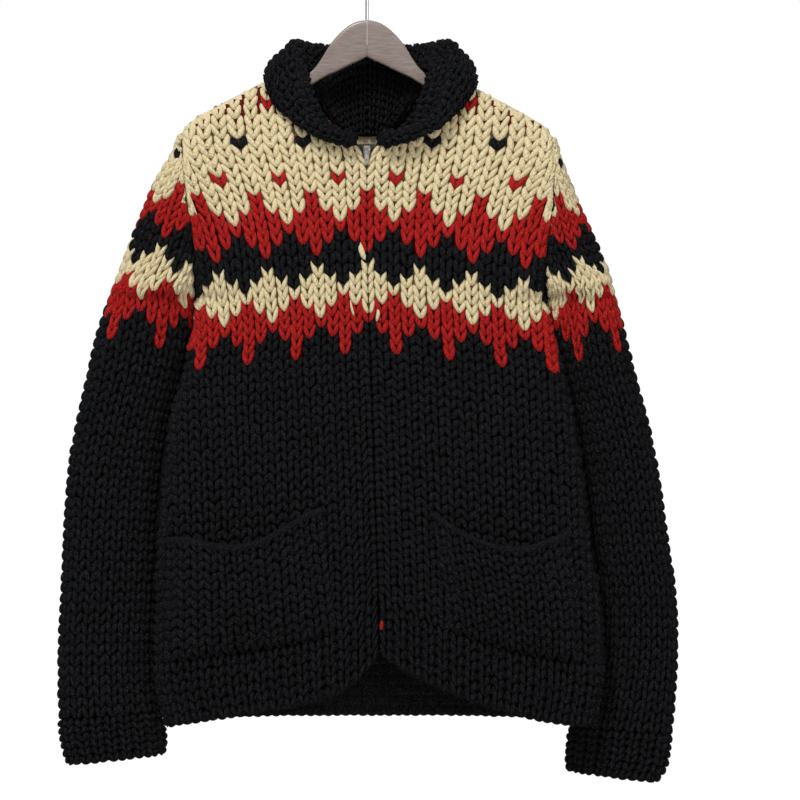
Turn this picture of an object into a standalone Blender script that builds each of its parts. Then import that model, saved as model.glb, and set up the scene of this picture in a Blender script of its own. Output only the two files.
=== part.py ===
"""Chunky hand-knit zip cardigan with a shawl collar, hanging on a contoured wooden hanger.

Sizes are in millimetres and become metres when an object is made. +X is the wearer's left as
seen from the front, -Y is the front and +Z is up. The origin is the inner top of the hanger's
hook, where a rail bears, so every height is given as "down": millimetres below that point.
"""

import math

import bmesh
import bpy
import numpy as np
from mathutils import Matrix

MM = 0.001
FRONT = -1
BACK = 1
LEFT = -1
RIGHT = 1
SEAM_GAP = 0.3

# Cloth
KNIT_WALL = 6.0
COLLAR_WALL = 7.5
POCKET_WALL = 5.0
TAPE_WALL = 1.2
LABEL_WALL = 1.0
RIB_PITCH = 15.5
RIB_RAISE = 1.8
RIB_PROFILE = (0.0, 1.0, 1.0)

# Torso
NECK_HALF_WIDTH = 72.0
SHOULDER_HALF_WIDTH = 199.0
SHOULDER_RADIUS = 16.0
SHOULDER_SPREAD = 190.0
RIGHT_SHOULDER_DROP = 4.0
FRONT_NECK_DOWN = 214.0
BACK_NECK_DOWN = 197.0
NECK_POINT_DOWN = 133.0
FRONT_NECK_DEPTH = 44.0
BACK_NECK_DEPTH = 40.0
NECK_ROUNDNESS = 2.4
NECK_SPREAD_WIDTH = 160.0
NECK_SPREAD_DROP = 60.0
UNDERARM_DOWN = 378.0
ARMHOLE_HALF_DEPTH = 38.0
SIDE_ROUNDNESS = 3.0
SIDE_HEM_DOWN = 842.0
BACK_HEM_DOWN = 838.0
HEM_RIB = 66.0
HANGER_BOW = 14.0
HANGER_END = 188.0

TORSO_COLUMNS = ("down", "left", "right", "centre", "front", "back")
TORSO = np.array([
    (205, -199, 199, 0.0, 30, 28),
    (235, -197, 201, 0.0, 36, 34),
    (265, -194, 200, 0.0, 40, 37),
    (300, -188.5, 197, 0.0, 43, 40),
    (340, -186, 193, 0.5, 45, 42),
    (380, -186, 195, 1.5, 46, 43),
    (414, -190, 203, 3.0, 46, 43),
    (456, -198, 214, 4.5, 45, 42),
    (510, -213, 225, 6.5, 44, 41),
    (574, -221, 235, 8.5, 43, 39),
    (636, -227, 241, 10.5, 42, 38),
    (700, -228, 252, 12.5, 40, 37),
    (764, -230, 256, 13.5, 38, 36),
    (814, -224, 252, 14.0, 36, 36),
    (842, -217, 246, 14.0, 35, 36),
], dtype=float)

SHOULDER_COLUMNS = ("out", "down")
SHOULDER = np.array([
    (72, 133),
    (95, 140),
    (118, 150),
    (142, 162.5),
    (165, 175),
    (185, 187),
    (194, 194),
    (199, 202),
], dtype=float)

# The front edges stand apart at the neck and close on the zip.
OPENING_COLUMNS = ("down", "half_gap")
OPENING = np.array([
    (200, 13),
    (214, 11),
    (222, 7),
    (228, 4.8),
    (236, 2),
    (250, 2),
    (900, 2),
], dtype=float)

# Soft hollows in the cloth: the angle is that of the long axis, clockwise from +X as seen in front.
# face, x, down, angle, half length, half width, depth
FOLDS = np.array([
    (FRONT, -134, 470, 52, 80, 24, 8),
    (FRONT, -168, 560, 76, 95, 20, 5),
    (FRONT, -70, 610, 80, 110, 26, 4),
    (FRONT, 140, 458, 126, 80, 24, 7),
    (FRONT, 196, 585, 100, 105, 20, 6),
    (FRONT, 62, 560, 96, 120, 28, 4),
    (BACK, -120, 500, 60, 90, 28, 7),
    (BACK, -60, 690, 84, 130, 26, 6),
    (BACK, 30, 560, 94, 140, 30, 5),
    (BACK, 118, 480, 118, 90, 26, 8),
    (BACK, 150, 700, 97, 120, 26, 6),
], dtype=float)

SLEEVE_COLUMNS = ("down", "outer", "inner", "outer_y", "inner_y", "depth")
LEFT_SLEEVE = np.array([
    (202, -200, -199, -16, -16, 10),
    (208, -204, -199, -15, -15, 20),
    (216, -206, -198, -15, -14, 26),
    (226, -210, -198, -14, -13, 31),
    (239, -219, -197, -13, -12, 20),
    (261, -231, -195, -11, -10, 12),
    (293, -244, -190, -8, -6, 11),
    (325, -257, -187, -6, -3, 13),
    (352, -267, -186, -3, 0, 22),
    (372, -275, -188, -2, 3, 32),
    (390, -281, -190, -1, 6, 36),
    (415, -290, -190, 0, 14, 34),
    (462, -301, -195, 2, 27, 32),
    (513, -313, -207, 5, 33, 30),
    (557, -321, -214, 7, 35, 29),
    (636, -327, -221, 8, 35, 28),
    (700, -330, -224, 8, 34, 28),
    (764, -333, -226, 9, 33, 28),
    (826, -332, -222, 9, 30, 27),
    (864, -329, -218, 9, 26, 25),
    (884, -323, -221, 9, 25, 24),
], dtype=float)
RIGHT_SLEEVE = np.array([
    (206, 200, 199, -16, -16, 10),
    (212, 204, 200, -15, -15, 20),
    (221, 208, 200, -15, -14, 26),
    (235, 213, 201, -14, -13, 32),
    (249, 219, 201, -12, -12, 18),
    (273, 228, 200, -10, -9, 11),
    (298, 237, 197, -8, -6, 11),
    (325, 249, 195, -6, -3, 13),
    (352, 260, 195, -4, 0, 22),
    (374, 266, 198, -2, 4, 32),
    (396, 272, 200, -1, 7, 36),
    (423, 280, 203, 0, 15, 34),
    (460, 291, 209, 2, 27, 32),
    (510, 306, 219, 5, 34, 31),
    (574, 319, 228, 8, 36, 29),
    (636, 327, 234, 10, 38, 28),
    (700, 333, 242, 13, 42, 28),
    (764, 335, 240, 17, 48, 28),
    (811, 333, 231, 19, 51, 27),
    (859, 328, 218, 20, 52, 26),
    (890, 322, 217, 20, 52, 25),
    (904, 312, 221, 20, 51, 24),
], dtype=float)
LEFT_CUFF_SEAM = 836.0
RIGHT_CUFF_SEAM = 853.0
LEFT_CUFF_END = 884.0
RIGHT_CUFF_END = 904.0
CUFF_TILT = 10.0

# Collar, by the angle round the neck from the front: its roll line, and where its edge lies.
COLLAR_COLUMNS = ("angle", "roll_x", "roll_y", "roll_down", "edge_x", "edge_down", "inset", "lift")
COLLAR = np.array([
    (10, 13, -50, 200, 20, 218, 3.4, 1.4),
    (25, 29, -48, 191, 42, 210, 5.5, 1.8),
    (40, 46, -44, 175, 66, 198, 9.5, 1.5),
    (52, 57, -38, 156, 80, 188, 10.9, 0.5),
    (62, 64, -30, 139, 93, 178, 11.3, 0.5),
    (72, 70, -20, 122, 103, 166, 10.8, 1.0),
    (80, 74, -12, 112, 107, 156, 7.5, 1.5),
    (90, 76, -3, 105, 108, 144, 6.4, -0.2),
    (100, 75, 7, 102, 107, 154, 7.5, 1.5),
    (112, 70, 19, 101, 101, 168, 10.0, 1.0),
    (125, 62, 30, 102, 86, 179, 10.6, 0.5),
    (140, 47, 41, 103, 65, 188, 9.5, 1.5),
    (160, 26, 47, 103, 34, 197, 6.0, 1.6),
    (180, 0, 49, 103, 0, 201, 4.0, 1.4),
], dtype=float)
RIGHT_COLLAR_SCALE = 1.07
COLLAR_LAYER_GAP = 7.0
COLLAR_REST_GAP = 2.0
COLLAR_HALF_LENGTH = 225.0
COLLAR_FALL_BULGE = 4.0
COLLAR_SEAM_TAPER = (0.45, 0.7, 0.9)

# Pockets, by fractions of the way from the zip to the side seam.
# side, mouth inner end, foot inner end, outer end, mouth inner and outer ends down, sag
POCKETS = np.array([
    (LEFT, 0.238, 0.185, 0.95, 608, 641, 22),
    (RIGHT, 0.257, 0.308, 0.90, 611, 633, 26),
], dtype=float)
POCKET_MOUTH_BULGE = 12.0
POCKET_BELLY_BULGE = 9.0

# Zip
ZIP_TOP = 216.0
ZIP_FOOT = 756.0
CHAIN_WIDTH = 5.0
CHAIN_THICKNESS = 2.4
TAPE_WIDTH = 13.0
SLIDER_WIDTH = 7.6
SLIDER_HEIGHT = 9.0
SLIDER_DEPTH = 4.6
SLIDER_DOWN = 222.0
LUG_WIDTH = 0.9
LUG_HEIGHT = 2.6
PULL_WIDTH = 4.4
PULL_EYE_WIDTH = 2.2
PULL_LENGTH = 17.0
PULL_THICKNESS = 1.4
PULL_EYE_DIAMETER = 2.0
PULL_STAND_OFF = 2.6
PULL_PIVOT_RISE = 2.0

# Label
LABEL_WIDTH = 62.0
LABEL_TOP = 200.0
LABEL_FOOT = 213.0

# Hanger
WOOD_THICKNESS = 10.5
WOOD_ROUNDING = 4.0
WOOD_CLEARANCE = 3.0
WOOD_ARM_HEIGHT = 15.0
WOOD_COLUMNS = ("out", "top", "foot")
WOOD_YOKE = np.array([
    (0.15, 80, 120),
    (8, 81, 124),
    (16, 84, 127.5),
    (24, 89.5, 131.5),
    (32, 97, 135.5),
    (40, 107, 139),
    (48, 120, 143),
    (56, 131.5, 148),
    (64, 139, 153),
], dtype=float)
HOOK_WIRE = 3.8
HOOK_RADIUS = 20.0
HOOK_JOIN_ANGLE = -35.0
HOOK_SWEEP = 235.0
HOOK_STEM_TOP = 54.0
HOOK_BEND_REACH = 10.0

NECK_COLUMNS = 5
SHOULDER_STEPS = (0.18, 0.36, 0.54, 0.71, 0.86, 0.95, 1.0)
ARMHOLE_STEPS = (0.0, 0.03, 0.1, 0.22, 0.38, 0.56, 0.74, 0.89, 1.0)
ARMHOLE_ROWS = len(ARMHOLE_STEPS) - 1
SIDE_ROWS = 9
SLEEVE_AROUND = 16
SLEEVE_ROWS = 9


def column(table, names, name, where):
    """Smooth curve through one named column of a table, read against its first column."""
    keys = table[:, 0]
    values = table[:, names.index(name)]
    slopes = np.gradient(values, keys)
    where = np.clip(np.asarray(where, dtype=float), keys[0], keys[-1])
    low = np.clip(np.searchsorted(keys, where) - 1, 0, len(keys) - 2)
    span = keys[low + 1] - keys[low]
    part = (where - keys[low]) / span
    start = (1 + 2 * part) * (1 - part) ** 2 * values[low]
    start += part * (1 - part) ** 2 * span * slopes[low]
    end = part**2 * (3 - 2 * part) * values[low + 1]
    end += part**2 * (part - 1) * span * slopes[low + 1]
    return start + end


def smooth(part):
    """Ease from 0 to 1."""
    part = np.clip(part, 0.0, 1.0)
    return part * part * (3 - 2 * part)


def rounding(part):
    """Quarter circle from 0 to 1, with its steep end first."""
    part = np.clip(part, 0.0, 1.0)
    return np.sqrt(1 - (1 - part) ** 2)


def torso(name, down):
    return column(TORSO, TORSO_COLUMNS, name, down)


def side_name(side):
    return "left" if side == LEFT else "right"


def hanger_y(out):
    """Plan curve of the hanger: its arms bow forward."""
    return -HANGER_BOW * (np.asarray(out) / HANGER_END) ** 2


def shoulder_down(side, out):
    """Top of the cloth along the shoulder."""
    level = column(SHOULDER, SHOULDER_COLUMNS, "down", out)
    if side == RIGHT:
        level = level + RIGHT_SHOULDER_DROP * smooth((np.asarray(out) - NECK_HALF_WIDTH) / 60)
    return level


def tip_down(side):
    return float(shoulder_down(side, SHOULDER_HALF_WIDTH))


def top_out(face, part):
    """Distance from the middle, along a panel's top edge."""
    start = OPENING[0, 1] if face == FRONT else 0.0
    return start + (SHOULDER_HALF_WIDTH - start) * part


def top_down(face, side, part):
    """Height of a panel's top edge: the neck curve, then the shoulder."""
    out = top_out(face, part)
    neck_down = FRONT_NECK_DOWN if face == FRONT else BACK_NECK_DOWN
    neck = neck_down - (neck_down - NECK_POINT_DOWN) * (out / NECK_HALF_WIDTH) ** 3
    return np.where(out < NECK_HALF_WIDTH, neck, shoulder_down(side, out))


def hem_down(face, side, part):
    """Lower edge of the hem: the fronts arch up to the zip."""
    if face == BACK:
        return BACK_HEM_DOWN + (SIDE_HEM_DOWN - BACK_HEM_DOWN) * part**4
    if side == LEFT:
        return SIDE_HEM_DOWN - 46 * (1 - part) ** 8 - 34 * (1 - part)
    return SIDE_HEM_DOWN - 12 * (1 - part) ** 8 - 68 * (1 - part) ** 1.7


def armhole_half_depth(side, down):
    """Half the armhole's opening, front to back, at one height."""
    tip = tip_down(side)
    middle = (tip + UNDERARM_DOWN) / 2
    part = (down - middle) / (UNDERARM_DOWN - middle)
    return ARMHOLE_HALF_DEPTH * np.sqrt(np.clip(1 - part**2, 0, 1))


def fold_depth(face, x, down):
    """How far the soft hollows take the cloth in."""
    total = np.zeros(np.broadcast(x, down).shape)
    for row_face, fold_x, fold_down, angle, half_length, half_width, depth in FOLDS:
        if row_face != face:
            continue
        turn = math.radians(angle)
        along = (x - fold_x) * math.cos(turn) + (down - fold_down) * math.sin(turn)
        across = (down - fold_down) * math.cos(turn) - (x - fold_x) * math.sin(turn)
        total = total + depth * np.exp(-((along / half_length) ** 2) - (across / half_width) ** 2)
    return total


def torso_point(face, side, part, down):
    """Outer surface of the body: part runs from the zip or middle (0) to the side (1)."""
    part, down = np.broadcast_arrays(np.asarray(part, dtype=float), np.asarray(down, dtype=float))
    gap = column(OPENING, OPENING_COLUMNS, "half_gap", down) if face == FRONT else 0.0
    start = torso("centre", down) + side * gap
    x = start + (torso(side_name(side), down) - start) * part

    out = top_out(face, part)
    drop = np.clip(down - top_down(face, side, part), 0, None)
    flat = (1 - part**SIDE_ROUNDNESS) ** (1 / SIDE_ROUNDNESS)
    depth = torso("front" if face == FRONT else "back", down)
    armhole = armhole_half_depth(side, down)
    full = depth * flat * rounding(drop / 30) + armhole * (1 - flat)

    neck_round = np.sqrt(np.clip(1 - (out / NECK_HALF_WIDTH) ** NECK_ROUNDNESS, 0, 1))
    spread_round = 1 - smooth(out / NECK_SPREAD_WIDTH)
    neck_share = neck_round + (spread_round - neck_round) * smooth(drop / NECK_SPREAD_DROP)
    neck_depth = FRONT_NECK_DEPTH if face == FRONT else BACK_NECK_DEPTH
    neck = neck_depth * neck_share
    ridge = SHOULDER_RADIUS * (1 - neck_share) + 1e-6
    draped = neck + ridge * rounding(drop / ridge)
    draped = draped + (full - neck - ridge) * smooth(drop / SHOULDER_SPREAD)
    to_side = smooth((part - 0.75) / 0.25)
    half = draped + (full - draped) * to_side
    half = half - fold_depth(face, x, down) * (1 - part**6) * smooth(drop / 120)

    middle = hanger_y(out) * (1 - smooth(drop / (UNDERARM_DOWN - tip_down(side))))
    y = middle + face * (half + SEAM_GAP / 2)
    return np.stack([x, y, -down], axis=-1)


def sleeve_point(side, turn, down):
    """Outer surface of a sleeve: turn runs from the front armhole edge (0) round the arm (1)."""
    turn, down = np.broadcast_arrays(np.asarray(turn, dtype=float), np.asarray(down, dtype=float))
    table = LEFT_SLEEVE if side == LEFT else RIGHT_SLEEVE
    tip = tip_down(side)
    inner = column(table, SLEEVE_COLUMNS, "inner", down)
    armhole_x = torso(side_name(side), down)
    inner = np.where(down < UNDERARM_DOWN, armhole_x, inner)
    outer = column(table, SLEEVE_COLUMNS, "outer", down)
    depth = column(table, SLEEVE_COLUMNS, "depth", down)
    closed = smooth((down - tip) / (UNDERARM_DOWN - tip)) ** 1.5

    arch = np.sin(math.pi * turn)
    loop = (1 - np.cos(2 * math.pi * turn)) / 2
    across = (1 - closed) * arch + closed * loop
    cap_y = hanger_y(SHOULDER_HALF_WIDTH) * (1 - smooth((down - tip) / (UNDERARM_DOWN - tip)))
    inner_y = np.where(down < UNDERARM_DOWN, cap_y, column(table, SLEEVE_COLUMNS, "inner_y", down))
    outer_y = column(table, SLEEVE_COLUMNS, "outer_y", down)
    armhole = armhole_half_depth(side, down) * (down < UNDERARM_DOWN) + SEAM_GAP / 2
    half = armhole * np.cos(math.pi * turn) + closed * depth * np.sin(2 * math.pi * turn)
    x = inner + (outer - inner) * across + side * 1.5 * SEAM_GAP
    y = inner_y + (outer_y - inner_y) * across - half
    return np.stack([x, y, -down], axis=-1)


def normals(grid, toward, around=False):
    """Unit normals of a grid of points, on the side that `toward` points to on the whole."""
    if around:
        along = np.roll(grid, -1, axis=1) - np.roll(grid, 1, axis=1)
    else:
        along = np.gradient(grid, axis=1)
    across = np.gradient(grid, axis=0)
    normal = np.cross(across, along)
    normal /= np.maximum(np.linalg.norm(normal, axis=2, keepdims=True), 1e-9)
    if np.sum(normal * np.asarray(toward)) < 0:
        normal = -normal
    return normal


def square_to(normal, axis):
    """Turn normals so that the wall's rim lies in the seam's plane, whose normal is `axis`."""
    normal[..., axis] = 0.0
    normal /= np.maximum(np.linalg.norm(normal, axis=-1, keepdims=True), 1e-9)


def armhole_normal(side, face, down):
    """Normal of the armhole's oval in its own plane, so that panel and sleeve rims face."""
    tip = tip_down(side)
    half_height = (UNDERARM_DOWN - tip) / 2
    level = (tip + half_height - down) / half_height
    sideways = np.sqrt(np.clip(1 - level**2, 0, 1))
    normal = np.stack(
        [np.zeros_like(level), face * sideways / ARMHOLE_HALF_DEPTH, level / half_height], axis=-1
    )
    return normal / np.linalg.norm(normal, axis=-1, keepdims=True)


def row_parts(side):
    """Fractions of a panel's height, closer together at the shoulder and the underarm."""
    tip = tip_down(side)
    foot = SIDE_HEM_DOWN - HEM_RIB
    armhole = tip + (UNDERARM_DOWN - tip) * np.array(ARMHOLE_STEPS)
    below = np.linspace(UNDERARM_DOWN, foot, SIDE_ROWS + 1)[1:]
    return (np.concatenate([armhole, below]) - tip) / (foot - tip)


def column_parts(face):
    """Fractions of a panel's half width: even round the neck, closer together at the side."""
    start = top_out(face, 0.0)
    first = math.asin(start / NECK_HALF_WIDTH)
    neck_angles = np.linspace(first, math.pi / 2, NECK_COLUMNS + 1)
    neck = (NECK_HALF_WIDTH * np.sin(neck_angles) - start) / (SHOULDER_HALF_WIDTH - start)
    shoulder = neck[-1] + (1 - neck[-1]) * np.array(SHOULDER_STEPS)
    return np.concatenate([neck, shoulder])


def rib_raise(count):
    """Height of a 1 by 1 rib's ridges over `count` columns of points."""
    return RIB_RAISE * np.array([RIB_PROFILE[i % len(RIB_PROFILE)] for i in range(count)])


def rib_columns(length):
    """Number of steps that gives whole ribs over a length of knitting."""
    return max(1, round(length / RIB_PITCH)) * len(RIB_PROFILE)


def even_parts(points_at, count):
    """Fractions that put points at equal distances along a curve."""
    fine = np.linspace(0, 1, 401)
    points = points_at(fine)
    steps = np.linalg.norm(np.diff(points, axis=0), axis=1)
    length = np.concatenate([[0], np.cumsum(steps)])
    return np.interp(np.linspace(0, length[-1], count + 1), length, fine), length[-1]


def material(name, color, roughness, metallic=0.0):
    result = bpy.data.materials.new(name)
    result.use_nodes = True
    shader = result.node_tree.nodes["Principled BSDF"]
    shader.inputs["Base Color"].default_value = (*color, 1.0)
    shader.inputs["Roughness"].default_value = roughness
    shader.inputs["Metallic"].default_value = metallic
    return result


BLACK_WOOL = (0.012, 0.012, 0.014)
LABEL_CREAM = (0.75, 0.70, 0.58)
ZIP_TAPE = (0.02, 0.02, 0.022)
DARK_METAL = (0.12, 0.115, 0.11)
POLISHED_METAL = (0.75, 0.75, 0.76)
BROWN_WOOD = (0.085, 0.062, 0.055)


def finish(collection, obj, color, roughness, metallic=0.0):
    """Put an object in the part's collection, with its own material."""
    for other in list(obj.users_collection):
        other.objects.unlink(obj)
    collection.objects.link(obj)
    obj.data.materials.clear()
    obj.data.materials.append(material(obj.name + "_finish", color, roughness, metallic))
    return obj


def mesh_object(name, points, faces):
    """Object from points in millimetres, with its faces turned outward."""
    mesh = bpy.data.meshes.new(name)
    mesh.from_pydata([tuple(point * MM) for point in points], [], faces)
    shape = bmesh.new()
    shape.from_mesh(mesh)
    bmesh.ops.recalc_face_normals(shape, faces=shape.faces)
    shape.to_mesh(mesh)
    shape.free()
    mesh.shade_smooth()
    mesh.set_sharp_from_angle(angle=math.radians(50))
    return bpy.data.objects.new(name, mesh)


def grid_faces(index):
    """Quads, or triangles where corners coincide, over a grid of point numbers."""
    faces = []
    for row in range(index.shape[0] - 1):
        for col in range(index.shape[1] - 1):
            corners = [index[row, col], index[row, col + 1], index[row + 1, col + 1], index[row + 1, col]]
            loop = [int(c) for i, c in enumerate(corners) if c != corners[i - 1]]
            if len(loop) >= 3:
                faces.append(tuple(loop))
    return faces


def wall(name, outer, inner, index=None):
    """Closed wall between two matching grids: both skins, and a rim round each open edge."""
    if index is None:
        index = np.arange(outer.shape[0] * outer.shape[1]).reshape(outer.shape[:2])
    used, compact = np.unique(index, return_inverse=True)
    index = compact.reshape(index.shape)
    outer_points = outer.reshape(-1, 3)[used]
    inner_points = inner.reshape(-1, 3)[used]
    faces = grid_faces(index)
    count = len(outer_points)
    uses = {}
    for face in faces:
        for start, end in zip(face, face[1:] + face[:1]):
            uses.setdefault(frozenset((start, end)), []).append((start, end))
    rim = []
    for edges in uses.values():
        if len(edges) == 1:
            start, end = edges[0]
            rim.append((end, start, start + count, end + count))
    inside = [tuple(corner + count for corner in reversed(face)) for face in faces]
    return mesh_object(name, np.concatenate([outer_points, inner_points]), faces + inside + rim)


def joined_ring(rows, columns, first_closed_row, single_first_row):
    """Point numbers of a grid whose last column is its first from one row down."""
    index = np.arange(rows * columns).reshape(rows, columns)
    index[first_closed_row:, -1] = index[first_closed_row:, 0]
    if single_first_row:
        index[0, :] = index[0, 0]
    return index


def square_panel_side(normal, side, face, rows_down):
    """Square a panel's side column to the armhole above the underarm and to the side seam below."""
    normal[:ARMHOLE_ROWS + 1] = armhole_normal(side, face, rows_down[:ARMHOLE_ROWS + 1])
    square_to(normal[ARMHOLE_ROWS + 1:], 1)


def front_panel(collection, side):
    parts = column_parts(FRONT)
    rows = row_parts(side)[:, None]
    top = top_down(FRONT, side, parts)[None, :]
    foot = hem_down(FRONT, side, parts)[None, :] - HEM_RIB
    down = top + (foot - top) * rows
    outer = torso_point(FRONT, side, parts[None, :], down)
    normal = normals(outer, (0, FRONT, 0))
    shoulder = top_out(FRONT, parts) >= NECK_HALF_WIDTH - 0.01
    normal[:2, ~shoulder] = neck_outward(outer[:2, ~shoulder])
    normal[0, shoulder] = (0, 0, 1)
    square_panel_side(normal[:, -1], side, FRONT, down[:, -1])
    square_to(normal[:, 0], 0)
    square_to(normal[-1], 2)
    obj = wall("front_" + side_name(side), outer, outer - KNIT_WALL * normal)
    return finish(collection, obj, BLACK_WOOL, 0.9)


def back_panel(collection):
    half = column_parts(BACK)
    signed = np.concatenate([-half[::-1], half[1:]])
    side_mix = (signed + 1) / 2
    rows = row_parts(LEFT)[:, None] * (1 - side_mix) + row_parts(RIGHT)[:, None] * side_mix
    outer = np.zeros((len(rows), len(signed), 3))
    down = np.zeros((len(rows), len(signed)))
    for side in (LEFT, RIGHT):
        chosen = signed * side >= 0
        parts = np.abs(signed[chosen])
        top = top_down(BACK, side, parts)
        foot = hem_down(BACK, side, parts) - HEM_RIB
        down[:, chosen] = top + (foot - top) * rows[:, chosen]
        outer[:, chosen] = torso_point(BACK, side, parts[None, :], down[:, chosen])
    normal = normals(outer, (0, BACK, 0))
    shoulder = top_out(BACK, np.abs(signed)) >= NECK_HALF_WIDTH - 0.01
    normal[:2, ~shoulder] = neck_outward(outer[:2, ~shoulder])
    normal[0, shoulder] = (0, 0, 1)
    square_panel_side(normal[:, 0], LEFT, BACK, down[:, 0])
    square_panel_side(normal[:, -1], RIGHT, BACK, down[:, -1])
    square_to(normal[-1], 2)
    obj = wall("back", outer, outer - KNIT_WALL * normal)
    return finish(collection, obj, BLACK_WOOL, 0.9)


def hem_rows(face, side, parts):
    foot = hem_down(face, side, parts)
    return foot[None, :] - (HEM_RIB - SEAM_GAP) * np.array([1.0, 0.0])[:, None]


def front_hem(collection, side):
    level = SIDE_HEM_DOWN - HEM_RIB

    def along(part):
        return torso_point(FRONT, side, part, level)

    length = even_parts(along, 1)[1]
    parts = even_parts(along, rib_columns(length))[0]
    outer = torso_point(FRONT, side, parts[None, :], hem_rows(FRONT, side, parts))
    normal = normals(outer, (0, FRONT, 0))
    square_to(normal[:, 0], 0)
    square_to(normal[:, -1], 1)
    square_to(normal[0], 2)
    raised = outer + normal * rib_raise(len(parts))[None, :, None]
    obj = wall("hem_front_" + side_name(side), raised, outer - (KNIT_WALL - 0.8) * normal)
    return finish(collection, obj, BLACK_WOOL, 0.9)


def back_hem(collection):
    level = SIDE_HEM_DOWN - HEM_RIB
    halves = []
    for side in (LEFT, RIGHT):
        def along(part, side=side):
            return torso_point(BACK, side, part, level)
        length = even_parts(along, 1)[1]
        parts = even_parts(along, rib_columns(length))[0]
        halves.append(torso_point(BACK, side, parts[None, :], hem_rows(BACK, side, parts)))
    outer = np.concatenate([halves[0][:, ::-1], halves[1][:, 1:]], axis=1)
    normal = normals(outer, (0, BACK, 0))
    square_to(normal[:, 0], 1)
    square_to(normal[:, -1], 1)
    square_to(normal[0], 2)
    raised = outer + normal * rib_raise(outer.shape[1])[None, :, None]
    obj = wall("hem_back", raised, outer - (KNIT_WALL - 0.8) * normal)
    return finish(collection, obj, BLACK_WOOL, 0.9)


def cuff_levels(side):
    if side == LEFT:
        return LEFT_CUFF_SEAM, LEFT_CUFF_END
    return RIGHT_CUFF_SEAM, RIGHT_CUFF_END


def tilted(side, turn, down):
    """Heights round a sleeve that rise towards the body as the cuff's edge does."""
    seam, end = cuff_levels(side)
    inward = (1 + np.cos(2 * math.pi * turn)) / 2
    return down - CUFF_TILT * inward * smooth((down - seam + 120) / (end - seam + 120))


def tube_normals(outer):
    """Outward normals of a grid that closes on itself round the arm."""
    centre = outer[:, :-1].mean(axis=1, keepdims=True)
    normal = normals(outer[:, :-1], outer[:, :-1] - centre, around=True)
    return np.concatenate([normal, normal[:, :1]], axis=1)


def sleeve(collection, side):
    seam = cuff_levels(side)[0]
    tip = tip_down(side)
    cap = tip + (UNDERARM_DOWN - tip) * np.array(ARMHOLE_STEPS)
    arm = np.linspace(UNDERARM_DOWN, seam, SLEEVE_ROWS + 1)[1:]
    down = np.concatenate([cap, arm])[:, None]
    turn = np.linspace(0, 1, SLEEVE_AROUND + 1)[None, :]
    outer = sleeve_point(side, turn, tilted(side, turn, down))
    normal = tube_normals(outer)
    cap_normal = normals(outer[:ARMHOLE_ROWS + 2], (side, 0, 0))
    normal[1:ARMHOLE_ROWS] = cap_normal[1:ARMHOLE_ROWS]
    normal[0] = (0, 0, 1)
    for face, col in ((FRONT, 0), (BACK, -1)):
        normal[1:ARMHOLE_ROWS + 1, col] = armhole_normal(side, face, cap[1:])
    square_to(normal[-1], 2)
    thickness = KNIT_WALL * (0.25 + 0.75 * smooth((down - tip) / 24))[..., None]
    inner = outer - thickness * normal
    seam_x = side * torso(side_name(side), cap)[:, None] + 1.5 * SEAM_GAP
    capped = inner[:ARMHOLE_ROWS + 1]
    capped[..., 0] = side * np.maximum(side * capped[..., 0], seam_x)
    index = joined_ring(*outer.shape[:2], ARMHOLE_ROWS, True)
    obj = wall("sleeve_" + side_name(side), outer, inner, index)
    return finish(collection, obj, BLACK_WOOL, 0.9)


def cuff(collection, side):
    seam, end = cuff_levels(side)
    down = np.array([[seam + SEAM_GAP], [end]])

    def around(turn):
        return sleeve_point(side, turn, seam)

    length = even_parts(around, 1)[1]
    turn = even_parts(around, rib_columns(length))[0][None, :]
    outer = sleeve_point(side, turn, tilted(side, turn, down))
    normal = tube_normals(outer)
    square_to(normal[0], 2)
    raise_by = rib_raise(outer.shape[1])
    raised = outer + normal * raise_by[None, :, None]
    index = joined_ring(*outer.shape[:2], 0, False)
    obj = wall("cuff_" + side_name(side), raised, outer - (KNIT_WALL - 0.8) * normal, index)
    return finish(collection, obj, BLACK_WOOL, 0.9)


def neck_outward(point):
    """Level direction away from the middle of the neck."""
    outward = np.asarray(point) * (1.0, 1.0, 0.0) + (0.0, 4.0, 0.0)
    return outward / np.linalg.norm(outward, axis=-1, keepdims=True)


def neck_rim(face, side, part):
    """Point on a panel's neck edge, which runs straight between its columns of points."""
    parts = column_parts(face)
    points = torso_point(face, side, parts, top_down(face, side, parts))
    return np.array([np.interp(part, parts, points[:, axis]) for axis in range(3)])


def collar_station(angle):
    """Base, roll and edge points of the collar at one angle round the neck (negative is left)."""
    side = LEFT if angle < 0 else RIGHT
    turn = abs(angle)
    face = FRONT if turn <= 90 else BACK
    scale = RIGHT_COLLAR_SCALE if side == RIGHT else 1.0

    def read(name):
        return float(column(COLLAR, COLLAR_COLUMNS, name, turn))

    out = NECK_HALF_WIDTH * math.sin(math.radians(turn))
    start = top_out(face, 0.0)
    part = max(0.0, (out - start) / (SHOULDER_HALF_WIDTH - start))
    rim = neck_rim(face, side, part)
    inward = -neck_outward(rim)
    base = rim + inward * read("inset") + np.array([0.0, 0.0, read("lift")])
    roll = np.array([side * scale * read("roll_x"), read("roll_y"), -read("roll_down")])

    edge_out = scale * read("edge_x")
    edge_part = (edge_out - start) / (SHOULDER_HALF_WIDTH - start)
    step = 0.6
    edge_level = read("edge_down")
    grid_part = np.array([[edge_part - 0.01, edge_part, edge_part + 0.01]])
    grid_down = np.array([[edge_level - step], [edge_level], [edge_level + step]])
    near = torso_point(face, side, np.clip(grid_part, 0, 1), grid_down)
    out_normal = normals(near, (0, face, 0.5))[1, 1]
    if turn == 90:
        out_normal = np.array([0.0, 0.0, 1.0])
    edge = near[1, 1] + out_normal * (COLLAR_WALL / 2 + COLLAR_REST_GAP)
    return base, roll, edge


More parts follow.
